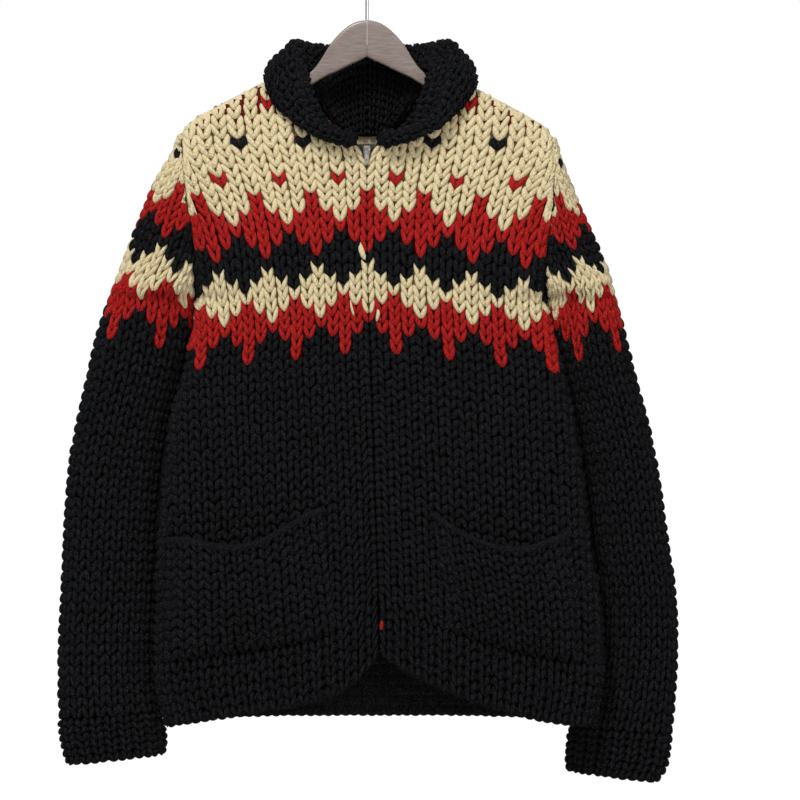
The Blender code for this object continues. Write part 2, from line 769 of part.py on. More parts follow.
def collar_path(base, roll, edge):
    """Centre line of the folded collar, from the neck seam over the roll to the free edge."""
    outward = neck_outward(roll)
    gap = COLLAR_LAYER_GAP
    centre = roll - np.array([0.0, 0.0, gap])
    stand = centre - outward * gap
    fall = centre + outward * gap
    up = [base + (stand - base) * part for part in (0.0, 0.5)]
    bend = []
    for angle in (0, 60, 120, 180):
        turn = math.radians(angle)
        bend.append(centre - outward * gap * math.cos(turn) + np.array([0, 0, gap * math.sin(turn)]))
    over = [(fall + edge) / 2 + outward * COLLAR_FALL_BULGE, edge]
    return np.array(up + bend + over)


def collar(collection):
    first = COLLAR[0, 0]
    steps = rib_columns(COLLAR_HALF_LENGTH)
    right = np.linspace(first, 180.0, steps + 1)
    left = -right
    angles = np.concatenate([left, right[::-1][1:]])
    centre = np.array([collar_path(*collar_station(angle)) for angle in angles])
    normal = normals(centre, (0, 0, 0))
    outward = neck_outward(centre[:, 0])
    if np.sum(normal[:, -2] * outward) < 0:
        normal = -normal
    normal[:, 0] = -outward
    taper = np.ones((1, centre.shape[1], 1))
    taper[0, :3, 0] = COLLAR_SEAM_TAPER
    ribs = rib_raise(len(angles))[:, None, None]
    raised = centre + normal * taper * (COLLAR_WALL / 2 + ribs)
    obj = wall("collar", raised, centre - normal * taper * COLLAR_WALL / 2)
    return finish(collection, obj, BLACK_WOOL, 0.9)


def pocket(collection, row):
    side, mouth_in, foot_in, out, mouth_in_down, mouth_out_down, sag = row
    side = int(side)
    across = np.linspace(0, 1, 10)[None, :]
    lower = np.linspace(0, 1, 7)[:, None]
    inner_part = mouth_in + (foot_in - mouth_in) * lower
    part = inner_part + (out - inner_part) * across
    mouth = mouth_in_down + (mouth_out_down - mouth_in_down) * across + sag * np.sin(math.pi * across)
    foot = hem_down(FRONT, side, part) - HEM_RIB - 3.0
    down = mouth + (foot - mouth) * lower
    base = torso_point(FRONT, side, part, down)
    normal = normals(base, (0, FRONT, 0))
    middle = np.sin(math.pi * across) ** 0.8
    bulge = middle * POCKET_MOUTH_BULGE * (1 - lower) ** 1.2
    bulge = bulge + middle * POCKET_BELLY_BULGE * np.sin(math.pi * lower)
    points = base + normal * (bulge + SEAM_GAP + 0.9)[..., None]
    count = np.arange(points.shape[0] * points.shape[1]).reshape(points.shape[:2])
    name = "pocket_" + side_name(side)
    obj = mesh_object(name, points.reshape(-1, 3), grid_faces(count))
    if obj.data.polygons[0].normal.y > 0:
        obj.data.flip_normals()
    solidify = obj.modifiers.new("wall", "SOLIDIFY")
    solidify.thickness = POCKET_WALL * MM
    solidify.offset = 1.0
    solidify.use_even_offset = True
    return finish(collection, obj, BLACK_WOOL, 0.9)


def zip_line(down, offset_x, depth):
    """Point behind the front edges: offset_x to the right of the zip line, depth behind it."""
    x = torso("centre", down)
    gap = column(OPENING, OPENING_COLUMNS, "half_gap", down)
    surface = []
    for side in (LEFT, RIGHT):
        reach = side * (torso(side_name(side), down) - x) - gap
        part = np.clip((side * offset_x - gap) / reach, 0, 1)
        surface.append(torso_point(FRONT, side, part, down)[..., 1])
    y = surface[1] if offset_x > 0 else surface[0]
    if offset_x == 0:
        y = (surface[0] + surface[1]) / 2
    return np.stack([x + offset_x, y + depth, -down], axis=-1)


def strip(name, edges):
    """Bar with a rectangular section, from four lines of points taken in order round it."""
    loops = np.stack(edges, axis=1)
    count = len(loops)
    faces = []
    for row in range(count - 1):
        for col in range(4):
            start = row * 4
            nxt = (col + 1) % 4
            faces.append((start + col, start + nxt, start + 4 + nxt, start + 4 + col))
    last = (count - 1) * 4
    faces.append((0, 1, 2, 3))
    faces.append((last + 3, last + 2, last + 1, last))
    return mesh_object(name, loops.reshape(-1, 3), faces)


def zip_strip(collection, name, x_from, x_to, thickness, front_depth, color, metallic):
    down = np.linspace(ZIP_TOP + (0 if "tape" in name else 12), ZIP_FOOT, 13)
    back_depth = front_depth + thickness
    edges = [
        zip_line(down, x_from, front_depth),
        zip_line(down, x_to, front_depth),
        zip_line(down, x_to, back_depth),
        zip_line(down, x_from, back_depth),
    ]
    return finish(collection, strip(name, edges), color, 0.6, metallic)


def zip_parts(collection):
    behind = KNIT_WALL + 1.2
    inner = CHAIN_WIDTH / 2 + SEAM_GAP
    outer = inner + TAPE_WIDTH
    zip_strip(collection, "zip_tape_left", -outer, -inner, TAPE_WALL, behind, ZIP_TAPE, 0.0)
    zip_strip(collection, "zip_tape_right", inner, outer, TAPE_WALL, behind, ZIP_TAPE, 0.0)
    half = CHAIN_WIDTH / 2
    zip_strip(collection, "zip_chain", -half, half, CHAIN_THICKNESS, behind - 0.9, DARK_METAL, 0.9)


def box_object(name, size, bevel=0.0):
    """Box about its own centre, in millimetres, with chamfered edges where a bevel is given."""
    bpy.ops.mesh.primitive_cube_add(size=1)
    obj = bpy.context.active_object
    obj.name = name
    obj.data.name = name
    obj.data.transform(Matrix.Diagonal((size[0] * MM, size[1] * MM, size[2] * MM, 1)))
    if bevel:
        modifier = obj.modifiers.new("chamfer", "BEVEL")
        modifier.width = bevel * MM
        modifier.segments = 1
    return obj


def place(obj, x, y, z):
    obj.location = (x * MM, y * MM, z * MM)


def fuse(obj, piece, helpers):
    """Join a helper piece to an object with a Boolean union."""
    for other in list(piece.users_collection):
        other.objects.unlink(piece)
    helpers.objects.link(piece)
    piece.hide_render = True
    piece.display_type = "WIRE"
    union = obj.modifiers.new("join_" + piece.name, "BOOLEAN")
    union.operation = "UNION"
    union.object = piece


def slider_place():
    """Centre of the zip slider, and the height of the surface of the front beside it."""
    x, surface, z = zip_line(SLIDER_DOWN, 0.0, 0.0)
    return float(x), float(surface), float(z)


def zip_slider(collection, helpers):
    x, surface, z = slider_place()
    body_y = surface + SLIDER_DEPTH / 2 + 1.2
    obj = box_object("zip_slider", (SLIDER_WIDTH, SLIDER_DEPTH, SLIDER_HEIGHT), 0.9)
    place(obj, x, body_y, z)
    lug_reach = PULL_STAND_OFF + PULL_EYE_DIAMETER / 2 + 1.8
    lug_offset = PULL_EYE_WIDTH / 2 + SEAM_GAP + LUG_WIDTH / 2
    for side in (LEFT, RIGHT):
        lug = box_object("lug_" + side_name(side), (LUG_WIDTH, lug_reach, LUG_HEIGHT))
        place(lug, x + side * lug_offset, surface + 1.8 - lug_reach / 2, z + PULL_PIVOT_RISE)
        fuse(obj, lug, helpers)
    finish(collection, obj, DARK_METAL, 0.35, 0.9)


def zip_pull(collection, helpers):
    """Pull tab with its origin on the hinge's axis, hanging straight down."""
    x, surface, z = slider_place()
    pivot = (x, surface - PULL_STAND_OFF, z + PULL_PIVOT_RISE)
    bpy.ops.mesh.primitive_cylinder_add(
        vertices=12,
        radius=PULL_EYE_DIAMETER / 2 * MM,
        depth=PULL_EYE_WIDTH * MM,
    )
    obj = bpy.context.active_object
    obj.name = "zip_pull_tab"
    obj.data.transform(Matrix.Rotation(math.pi / 2, 4, "Y"))
    place(obj, *pivot)
    neck_length = LUG_HEIGHT / 2 + 1.4
    neck = box_object("pull_neck", (PULL_EYE_WIDTH - 0.4, PULL_THICKNESS - 0.2, neck_length))
    place(neck, pivot[0], pivot[1], pivot[2] - neck_length / 2 - 0.4)
    fuse(obj, neck, helpers)
    plate_length = PULL_LENGTH - neck_length
    plate = box_object("pull_plate", (PULL_WIDTH, PULL_THICKNESS, plate_length), 0.4)
    place(plate, pivot[0], pivot[1], pivot[2] - neck_length - plate_length / 2)
    fuse(obj, plate, helpers)
    finish(collection, obj, DARK_METAL, 0.35, 0.9)


def neck_label(collection):
    """Plain woven label on the inside of the back, under the collar seam."""
    across = np.linspace(-1, 1, 9)
    down = np.linspace(LABEL_TOP, LABEL_FOOT, 3)[:, None]
    out = np.abs(across) * LABEL_WIDTH / 2
    part = out / SHOULDER_HALF_WIDTH
    base = np.zeros((3, len(across), 3))
    for side in (LEFT, RIGHT):
        chosen = across * side >= 0
        base[:, chosen] = torso_point(BACK, side, part[None, chosen], down)
    normal = normals(base, (0, BACK, 0))
    points = base - normal * (KNIT_WALL + 1.2)
    count = np.arange(points.shape[0] * points.shape[1]).reshape(points.shape[:2])
    obj = mesh_object("neck_label", points.reshape(-1, 3), grid_faces(count))
    if obj.data.polygons[0].normal.y > 0:
        obj.data.flip_normals()
    solidify = obj.modifiers.new("wall", "SOLIDIFY")
    solidify.thickness = LABEL_WALL * MM
    solidify.offset = 1.0
    finish(collection, obj, LABEL_CREAM, 0.7)


def wood_levels(side, out):
    """Top and foot of the wood at one distance from the middle."""
    if out <= WOOD_YOKE[-1, 0]:
        top = float(column(WOOD_YOKE, WOOD_COLUMNS, "top", out))
        foot = float(column(WOOD_YOKE, WOOD_COLUMNS, "foot", out))
        return top, foot
    top = float(shoulder_down(side, out)) + KNIT_WALL + WOOD_CLEARANCE
    return top, top + WOOD_ARM_HEIGHT


def wood_section(side, out, shrink):
    """Rounded rectangle across the wood: three points at each corner."""
    top, foot = wood_levels(side, out)
    middle = (top + foot) / 2
    half_height = (foot - top) / 2 * shrink
    half_width = WOOD_THICKNESS / 2 * shrink
    radius = min(WOOD_ROUNDING * shrink, half_height)
    points = []
    for corner in range(4):
        for step in (0, 45, 90):
            angle = math.radians(corner * 90 + step)
            y = math.copysign(half_width - radius, math.cos(math.radians(corner * 90 + 45)))
            z = math.copysign(half_height - radius, math.sin(math.radians(corner * 90 + 45)))
            y += radius * math.cos(angle) + float(hanger_y(out))
            z += radius * math.sin(angle) - middle
            points.append((side * out, y, z))
    return points


def hanger_arm(collection, side):
    yoke = [(out, 1.0) for out in WOOD_YOKE[:, 0]]
    arm = [(out, 1.0) for out in np.linspace(76, HANGER_END - 8, 7)]
    end = [(HANGER_END - 2.5, 0.85), (HANGER_END, 0.5)]
    loops = np.array([wood_section(side, out, shrink) for out, shrink in yoke + arm + end])
    rows, around = loops.shape[:2]
    index = np.arange(rows * around).reshape(rows, around)
    faces = grid_faces(np.concatenate([index, index[:, :1]], axis=1))
    faces.append(tuple(int(i) for i in index[0]))
    faces.append(tuple(int(i) for i in index[-1][::-1]))
    obj = mesh_object("hanger_arm_" + side_name(side), loops.reshape(-1, 3), faces)
    finish(collection, obj, BROWN_WOOD, 0.4)


def hook_points():
    """Centre line of the hook: stem, side bend, and the round that hangs over the rail."""
    centre = HOOK_WIRE / 2 - HOOK_RADIUS
    stem = [(0.0, z) for z in np.linspace(SEAM_GAP - WOOD_YOKE[0, 1], -HOOK_STEM_TOP, 3)]
    join = math.radians(HOOK_JOIN_ANGLE)
    start = np.array([0.0, -HOOK_STEM_TOP])
    end = np.array([HOOK_RADIUS * math.cos(join), centre + HOOK_RADIUS * math.sin(join)])
    reach = HOOK_BEND_REACH
    start_pull = start + np.array([0.0, reach])
    end_pull = end - reach * np.array([-math.sin(join), math.cos(join)])
    bend = []
    for part in np.linspace(0, 1, 7)[1:]:
        weights = ((1 - part) ** 3, 3 * part * (1 - part) ** 2, 3 * part**2 * (1 - part), part**3)
        bend.append(tuple(sum(w * p for w, p in zip(weights, (start, start_pull, end_pull, end)))))
    turns = np.radians(np.linspace(HOOK_JOIN_ANGLE, HOOK_JOIN_ANGLE + HOOK_SWEEP, 17)[1:])
    arc = [(HOOK_RADIUS * math.cos(t), centre + HOOK_RADIUS * math.sin(t)) for t in turns]
    return stem + bend + arc


def hanger_hook(collection):
    points = hook_points()
    curve = bpy.data.curves.new("hanger_hook", "CURVE")
    curve.dimensions = "3D"
    spline = curve.splines.new("POLY")
    spline.points.add(len(points) - 1)
    for point, (x, z) in zip(spline.points, points):
        point.co = (x * MM, 0.0, z * MM, 1.0)
    curve.bevel_depth = HOOK_WIRE / 2 * MM
    curve.bevel_resolution = 2
    curve.use_fill_caps = True
    finish(collection, bpy.data.objects.new("hanger_hook", curve), POLISHED_METAL, 0.2, 1.0)


def main():
    for old in list(bpy.data.objects):
        bpy.data.objects.remove(old, do_unlink=True)
    collection = bpy.data.collections.new("cowichan_cardigan")
    helpers = bpy.data.collections.new("joined_pieces")
    bpy.context.scene.collection.children.link(collection)
    bpy.context.scene.collection.children.link(helpers)

    back_panel(collection)
    back_hem(collection)
    for side in (LEFT, RIGHT):
        front_panel(collection, side)
        front_hem(collection, side)
        sleeve(collection, side)
        cuff(collection, side)
        hanger_arm(collection, side)
    collar(collection)
    for row in POCKETS:
        pocket(collection, row)
    zip_parts(collection)
    zip_slider(collection, helpers)
    zip_pull(collection, helpers)
    neck_label(collection)
    hanger_hook(collection)


if __name__ == "__main__":
    main()
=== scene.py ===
"""Looks of the hand-knit zip cardigan on its hanger: every stitch, rib, tooth and grain.

Lengths are in millimetres until a mesh is made, and "down" is the distance below the rail that
the hook hangs on. The knitted surfaces are those of the part's solids, worked out again at the
spacing of the stitches. Left and right are as the front is seen.
"""

import math

import bmesh
import bpy
import numpy as np
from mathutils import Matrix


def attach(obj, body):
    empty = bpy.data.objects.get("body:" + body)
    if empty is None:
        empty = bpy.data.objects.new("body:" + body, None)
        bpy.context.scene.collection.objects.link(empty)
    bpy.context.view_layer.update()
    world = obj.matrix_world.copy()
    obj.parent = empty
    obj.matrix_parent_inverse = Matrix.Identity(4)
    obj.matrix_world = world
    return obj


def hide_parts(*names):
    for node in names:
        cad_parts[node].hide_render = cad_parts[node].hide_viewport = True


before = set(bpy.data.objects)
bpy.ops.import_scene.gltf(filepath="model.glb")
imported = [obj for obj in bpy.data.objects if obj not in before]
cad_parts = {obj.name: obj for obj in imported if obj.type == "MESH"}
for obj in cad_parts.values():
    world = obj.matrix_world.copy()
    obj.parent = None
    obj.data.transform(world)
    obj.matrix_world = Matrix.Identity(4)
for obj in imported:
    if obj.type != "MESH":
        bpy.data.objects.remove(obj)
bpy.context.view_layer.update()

MM = 0.001
FRONT = -1
BACK = 1
LEFT = -1
RIGHT = 1
BODY = "cardigan"
RANDOM = np.random.default_rng(7)

# ---------------------------------------------------------------------------------------------
# The garment's forms, as in the part's source
# ---------------------------------------------------------------------------------------------

SEAM_GAP = 0.3
SLEEVE_GAP = 1.5 * SEAM_GAP
KNIT_WALL = 6.0
COLLAR_WALL = 7.5
POCKET_WALL = 5.0
NECK_HALF_WIDTH = 72.0
SHOULDER_HALF_WIDTH = 199.0
SHOULDER_RADIUS = 16.0
SHOULDER_SPREAD = 190.0
RIGHT_SHOULDER_DROP = 4.0
SHOULDER_DROP_REACH = 60.0
FRONT_NECK_DOWN = 214.0
BACK_NECK_DOWN = 197.0
NECK_POINT_DOWN = 133.0
FRONT_NECK_DEPTH = 44.0
BACK_NECK_DEPTH = 40.0
NECK_ROUNDNESS = 2.4
NECK_SPREAD_WIDTH = 160.0
NECK_SPREAD_DROP = 60.0
UNDERARM_DOWN = 378.0
ARMHOLE_HALF_DEPTH = 38.0
SIDE_ROUNDNESS = 3.0
SIDE_BLEND = 0.75
TOP_ROUNDING = 30.0
FOLDS_BEGIN = 120.0
SIDE_HEM_DOWN = 842.0
BACK_HEM_DOWN = 832.0
HEM_RIB = 66.0
# How far the fronts' lower edge rises at the zip: a short arch, a long one and its power.
HEM_ARCHES = {LEFT: (46, 34, 1), RIGHT: (12, 68, 1.7)}
SHORT_ARCH_POWER = 8
HANGER_BOW = 14.0
HANGER_END = 188.0

TORSO_COLUMNS = ("down", "left", "right", "centre", "front", "back")
TORSO = np.array([
    (205, -199, 199, 0.0, 30, 28),
    (235, -197, 201, 0.0, 36, 34),
    (265, -194, 200, 0.0, 40, 37),
    (300, -188.5, 197, 0.0, 43, 40),
    (340, -186, 193, 0.5, 45, 42),
    (380, -186, 195, 1.5, 46, 43),
    (414, -190, 203, 3.0, 46, 43),
    (456, -198, 214, 4.5, 45, 42),
    (510, -213, 225, 6.5, 44, 41),
    (574, -221, 235, 8.5, 43, 39),
    (636, -227, 241, 10.5, 42, 38),
    (700, -228, 252, 12.5, 40, 37),
    (764, -230, 256, 13.5, 38, 36),
    (814, -224, 252, 14.0, 36, 36),
    (842, -217, 246, 14.0, 35, 36),
], dtype=float)

SHOULDER_COLUMNS = ("out", "down")
SHOULDER = np.array([
    (72, 133), (95, 140), (118, 150), (142, 162.5), (165, 175), (185, 187), (194, 194), (199, 202),
], dtype=float)

OPENING_COLUMNS = ("down", "half_gap")
OPENING = np.array([
    (200, 13), (214, 11), (222, 7), (228, 4.8), (236, 2), (250, 2), (900, 2),
], dtype=float)

# The knitted edges meet over the zip, nearer than the solid's.
MEETING = np.array([
    (200, 13), (214, 11), (222, 7), (228, 4.2), (235, 1.0), (243, 0.1), (253, 0.1), (900, 0.1),
], dtype=float)

# face, x, down, angle, half length, half width, depth
FOLDS = np.array([
    (FRONT, -134, 470, 52, 80, 24, 8),
    (FRONT, -168, 560, 76, 95, 20, 5),
    (FRONT, -70, 610, 80, 110, 26, 4),
    (FRONT, 140, 458, 126, 80, 24, 7),
    (FRONT, 196, 585, 100, 105, 20, 6),
    (FRONT, 62, 560, 96, 120, 28, 4),
    (BACK, -120, 500, 60, 90, 28, 7),
    (BACK, -60, 690, 84, 130, 26, 6),
    (BACK, 30, 560, 94, 140, 30, 5),
    (BACK, 118, 480, 118, 90, 26, 8),
    (BACK, 150, 700, 97, 120, 26, 6),
], dtype=float)

SLEEVE_COLUMNS = ("down", "outer", "inner", "outer_y", "inner_y", "depth")
LEFT_SLEEVE = np.array([
    (202, -200, -199, -16, -16, 10),
    (208, -204, -199, -15, -15, 20),
    (216, -206, -198, -15, -14, 26),
    (226, -210, -198, -14, -13, 31),
    (239, -219, -197, -13, -12, 20),
    (261, -231, -195, -11, -10, 12),
    (293, -244, -190, -8, -6, 11),
    (325, -257, -187, -6, -3, 13),
    (352, -267, -186, -3, 0, 22),
    (372, -275, -184, -2, 3, 32),
    (390, -281, -184, -1, 6, 36),
    (415, -290, -184, 0, 14, 34),
    (462, -301, -192, 2, 27, 32),
    (513, -313, -207, 5, 33, 30),
    (557, -321, -214, 7, 35, 29),
    (636, -327, -221, 8, 35, 28),
    (700, -330, -224, 8, 34, 28),
    (764, -333, -226, 9, 33, 28),
    (826, -332, -222, 9, 30, 27),
    (864, -329, -218, 9, 26, 25),
    (884, -323, -221, 9, 25, 24),
], dtype=float)
RIGHT_SLEEVE = np.array([
    (206, 200, 199, -16, -16, 10),
    (212, 204, 200, -15, -15, 20),
    (221, 206, 200, -15, -14, 26),
    (235, 210, 201, -14, -13, 32),
    (249, 216, 201, -12, -12, 18),
    (273, 226, 200, -10, -9, 11),
    (298, 237, 197, -8, -6, 11),
    (325, 249, 195, -6, -3, 13),
    (352, 260, 195, -4, 0, 22),
    (374, 266, 193, -2, 4, 32),
    (396, 272, 194, -1, 7, 36),
    (423, 279, 197, 0, 15, 34),
    (460, 288, 205, 2, 27, 32),
    (510, 302, 217, 5, 34, 31),
    (574, 315, 227, 8, 36, 29),
    (636, 324, 234, 10, 38, 28),
    (700, 333, 242, 13, 42, 28),
    (764, 335, 240, 17, 48, 28),
    (811, 333, 231, 19, 51, 27),
    (859, 328, 218, 20, 52, 26),
    (890, 322, 217, 20, 52, 25),
    (904, 312, 221, 20, 51, 24),
], dtype=float)
CUFF_LEVELS = {LEFT: (836.0, 884.0), RIGHT: (853.0, 904.0)}
CUFF_TILT = 10.0
CUFF_TILT_REACH = 120.0

COLLAR_COLUMNS = ("angle", "roll_x", "roll_y", "roll_down", "edge_x", "edge_down", "inset", "lift")
COLLAR = np.array([
    (10, 13, -50, 200, 20, 218, 3.4, 1.4),
    (25, 29, -48, 191, 42, 210, 5.5, 1.8),
    (40, 46, -44, 175, 66, 198, 5.5, 1.5),
    (52, 57, -38, 156, 80, 188, 5.0, 0.5),
    (62, 64, -30, 139, 93, 178, 4.5, 0.5),
    (72, 70, -20, 122, 103, 166, 4.0, 1.0),
    (80, 74, -12, 112, 107, 156, 3.5, 1.5),
    (90, 76, -3, 105, 108, 144, 4.5, -0.2),
    (100, 75, 7, 102, 107, 154, 8.5, 0.5),
    (112, 70, 19, 101, 101, 168, 12.0, -3.0),
    (125, 62, 30, 102, 86, 179, 13.2, -5.5),
    (140, 47, 41, 103, 65, 188, 13.4, -6.5),
    (160, 26, 47, 103, 34, 197, 13.2, -6.8),
    (180, 0, 49, 103, 0, 201, 13.0, -6.8),
], dtype=float)
RIGHT_COLLAR_SCALE = 1.07
COLLAR_LAYER_GAP = 7.0
# How much wider the visible roll opens, left and right, and how much lower it lies.
COLLAR_OPENS_COLUMNS = ("angle", "left", "right", "lower")
COLLAR_OPENS = np.array([
    (10, 0, 0, 5), (25, 5, 10, 10), (40, 12, 20, 13), (52, 14, 22, 11), (62, 12, 22, 7),
    (72, 10, 20, 3), (80, 7, 14, 0), (90, 2, 7, 0), (112, 0, 0, 4), (140, 0, 0, 4), (180, 0, 0, 2),
], dtype=float)
# The free edge's gap turns upwards where it crosses the shoulder: how much, and within what angle.
COLLAR_EDGE_UP = 3.0
COLLAR_EDGE_UP_SPREAD = 7.0
COLLAR_REST_GAP = 2.0
COLLAR_FALL_BULGE = 4.0

# side, inner end of the mouth, inner end of the foot, outer edge (parts of the way across the
# front), height of the mouth's inner and outer end, its sag
POCKETS = np.array([
    (LEFT, 0.238, 0.185, 0.95, 608, 641, 22),
    (RIGHT, 0.257, 0.308, 0.90, 611, 633, 26),
], dtype=float)
POCKET_MOUTH_BULGE = 12.0
POCKET_BELLY_BULGE = 9.0
POCKET_GAP = 1.2
POCKET_SEWN = 2.4
POCKET_SEAM_WIDTH = 1.4
POCKET_FOOT_RISE = 3.0
POCKET_LEVEL = 640.0
POCKET_ROWS = 12

ZIP_TOP = 216.0
ZIP_FOOT = 756.0
CHAIN_WIDTH = 5.0
TAPE_WIDTH = 13.0
TAPE_WALL = 1.0
ZIP_BEHIND = KNIT_WALL + 1.2
TEETH_BEHIND = ZIP_BEHIND + 0.2
TOOTH_PITCH = 1.5
TOOTH_REACH = 0.8
TOOTH_HALF_SIZE = (1.65, 1.05, 0.62)
TOOTH_TILT = 0.2
TOOTH_WEAR = 0.22
TEETH_TOP = ZIP_TOP + 13
TEETH_FOOT = ZIP_FOOT - 14
LABEL_WIDTH = 62.0
LABEL_TOP = 200.0
LABEL_FOOT = 213.0
LABEL_WALL = 0.8
LABEL_BEHIND = KNIT_WALL + 1.7

WOOD_THICKNESS = 10.5
WOOD_CLEARANCE = 3.0
WOOD_ARM_HEIGHT = 15.0
WOOD_COLUMNS = ("out", "top", "foot")
WOOD_YOKE = np.array([
    (0.15, 80, 120),
    (8, 81, 124),
    (16, 84, 127.5),
    (24, 89.5, 131.5),
    (32, 97, 135.5),
    (40, 107, 139),
    (48, 120, 143),
    (56, 131.5, 148),
    (64, 139, 153),
], dtype=float)
# The last rings of an arm: how short of its end they lie, and how much of the section they have.
WOOD_END = ((4.0, 0.97), (2.0, 0.85), (0.8, 0.62), (0.2, 0.35))
HOOK_WIRE = 3.8
HOOK_RADIUS = 20.0
HOOK_JOIN_ANGLE = -35.0
HOOK_SWEEP = 235.0
HOOK_STEM_TOP = 54.0
HOOK_BEND_REACH = 10.0


def column(table, names, name, where):
    """Smooth curve through one named column of a table, read against its first column."""
    keys = table[:, 0]
    values = table[:, names.index(name)]
    slopes = np.gradient(values, keys)
    where = np.clip(np.asarray(where, dtype=float), keys[0], keys[-1])
    low = np.clip(np.searchsorted(keys, where) - 1, 0, len(keys) - 2)
    span = keys[low + 1] - keys[low]
    part = (where - keys[low]) / span
    start = (1 + 2 * part) * (1 - part) ** 2 * values[low]
    start += part * (1 - part) ** 2 * span * slopes[low]
    end = part**2 * (3 - 2 * part) * values[low + 1]
    end += part**2 * (part - 1) * span * slopes[low + 1]
    return start + end


def smooth(part):
    """Ease from 0 to 1."""
    part = np.clip(part, 0.0, 1.0)
    return part * part * (3 - 2 * part)


def rounding(part):
    """Quarter circle from 0 to 1, with its steep end first."""
    part = np.clip(part, 0.0, 1.0)
    return np.sqrt(1 - (1 - part) ** 2)


def unit(vectors):
    """Vectors of length 1 in the same directions."""
    return vectors / np.maximum(np.linalg.norm(vectors, axis=-1, keepdims=True), 1e-9)


def lengths(line):
    """Distance along a line at each of its points."""
    return np.concatenate([[0], np.cumsum(np.linalg.norm(np.diff(line, axis=0), axis=1))])


def along_line(at, length, values):
    """Points or directions of a line, read at new distances along it."""
    return np.stack([np.interp(at, length, values[:, axis]) for axis in range(3)], axis=-1)


def torso(name, down):
    """A measure of the body at one height."""
    return column(TORSO, TORSO_COLUMNS, name, down)


def side_name(side):
    """Word for a side, as pieces and columns are named."""
    return "left" if side == LEFT else "right"


def hanger_y(out):
    """Plan curve of the hanger: its arms bow forward."""
    return -HANGER_BOW * (np.asarray(out) / HANGER_END) ** 2


def shoulder_down(side, out):
    """Top of the cloth along the shoulder."""
    level = column(SHOULDER, SHOULDER_COLUMNS, "down", out)
    if side == RIGHT:
        from_neck = (np.asarray(out) - NECK_HALF_WIDTH) / SHOULDER_DROP_REACH
        level = level + RIGHT_SHOULDER_DROP * smooth(from_neck)
    return level


def tip_down(side):
    """Height of the shoulder's end, where the sleeve begins."""
    return float(shoulder_down(side, SHOULDER_HALF_WIDTH))


def top_out(face, part):
    """Distance from the middle, along a panel's top edge."""
    start = OPENING[0, 1] if face == FRONT else 0.0
    return start + (SHOULDER_HALF_WIDTH - start) * part


def top_down(face, side, part):
    """Height of a panel's top edge: the neck curve, then the shoulder."""
    out = top_out(face, part)
    neck_down = FRONT_NECK_DOWN if face == FRONT else BACK_NECK_DOWN
    neck = neck_down - (neck_down - NECK_POINT_DOWN) * (out / NECK_HALF_WIDTH) ** 3
    return np.where(out < NECK_HALF_WIDTH, neck, shoulder_down(side, out))


def hem_down(face, side, part):
    """Lower edge of the hem: the fronts arch up to the zip."""
    if face == BACK:
        return BACK_HEM_DOWN + (SIDE_HEM_DOWN - BACK_HEM_DOWN) * part**4
    short_rise, long_rise, power = HEM_ARCHES[side]
    arch = SIDE_HEM_DOWN - short_rise * (1 - part) ** SHORT_ARCH_POWER
    return arch - long_rise * (1 - part) ** power


def armhole_half_depth(side, down):
    """Half the armhole's opening, front to back, at one height."""
    tip = tip_down(side)
    middle = (tip + UNDERARM_DOWN) / 2
    part = (down - middle) / (UNDERARM_DOWN - middle)
    return ARMHOLE_HALF_DEPTH * np.sqrt(np.clip(1 - part**2, 0, 1))


def fold_depth(face, x, down):
    """How far the soft hollows take the cloth in."""
    total = np.zeros(np.broadcast(x, down).shape)
    for row_face, fold_x, fold_down, angle, half_length, half_width, depth in FOLDS:
        if row_face != face:
            continue
        turn = math.radians(angle)
        along = (x - fold_x) * math.cos(turn) + (down - fold_down) * math.sin(turn)
        across = (down - fold_down) * math.cos(turn) - (x - fold_x) * math.sin(turn)
        total = total + depth * np.exp(-((along / half_length) ** 2) - (across / half_width) ** 2)
    return total


def panel_ends(face, side, down):
    """x of a panel's inner and outer edge at one height."""
    gap = column(MEETING, OPENING_COLUMNS, "half_gap", down) if face == FRONT else 0.0
    return torso("centre", down) + side * gap, torso(side_name(side), down)


def torso_point(face, side, part, down):
    """Outer surface of the body: part runs from the zip or middle (0) to the side (1)."""
    part, down = np.broadcast_arrays(np.asarray(part, dtype=float), np.asarray(down, dtype=float))
    start, end = panel_ends(face, side, down)
    x = start + (end - start) * part

    out = top_out(face, part)
    drop = np.clip(down - top_down(face, side, part), 0, None)
    flat = (1 - part**SIDE_ROUNDNESS) ** (1 / SIDE_ROUNDNESS)
    depth = torso("front" if face == FRONT else "back", down)
    armhole = armhole_half_depth(side, down)
    full = depth * flat * rounding(drop / TOP_ROUNDING) + armhole * (1 - flat)

    neck_round = np.sqrt(np.clip(1 - (out / NECK_HALF_WIDTH) ** NECK_ROUNDNESS, 0, 1))
    spread_round = 1 - smooth(out / NECK_SPREAD_WIDTH)
    neck_share = neck_round + (spread_round - neck_round) * smooth(drop / NECK_SPREAD_DROP)
    neck_depth = FRONT_NECK_DEPTH if face == FRONT else BACK_NECK_DEPTH
    neck = neck_depth * neck_share
    ridge = SHOULDER_RADIUS * (1 - neck_share) + 1e-6
    draped = neck + ridge * rounding(drop / ridge)
    draped = draped + (full - neck - ridge) * smooth(drop / SHOULDER_SPREAD)
    to_side = smooth((part - SIDE_BLEND) / (1 - SIDE_BLEND))
    half = draped + (full - draped) * to_side
    half = half - fold_depth(face, x, down) * (1 - part**6) * smooth(drop / FOLDS_BEGIN)

    middle = hanger_y(out) * (1 - smooth(drop / (UNDERARM_DOWN - tip_down(side))))
    y = middle + face * (half + SEAM_GAP / 2)
    return np.stack([x, y, -down], axis=-1)


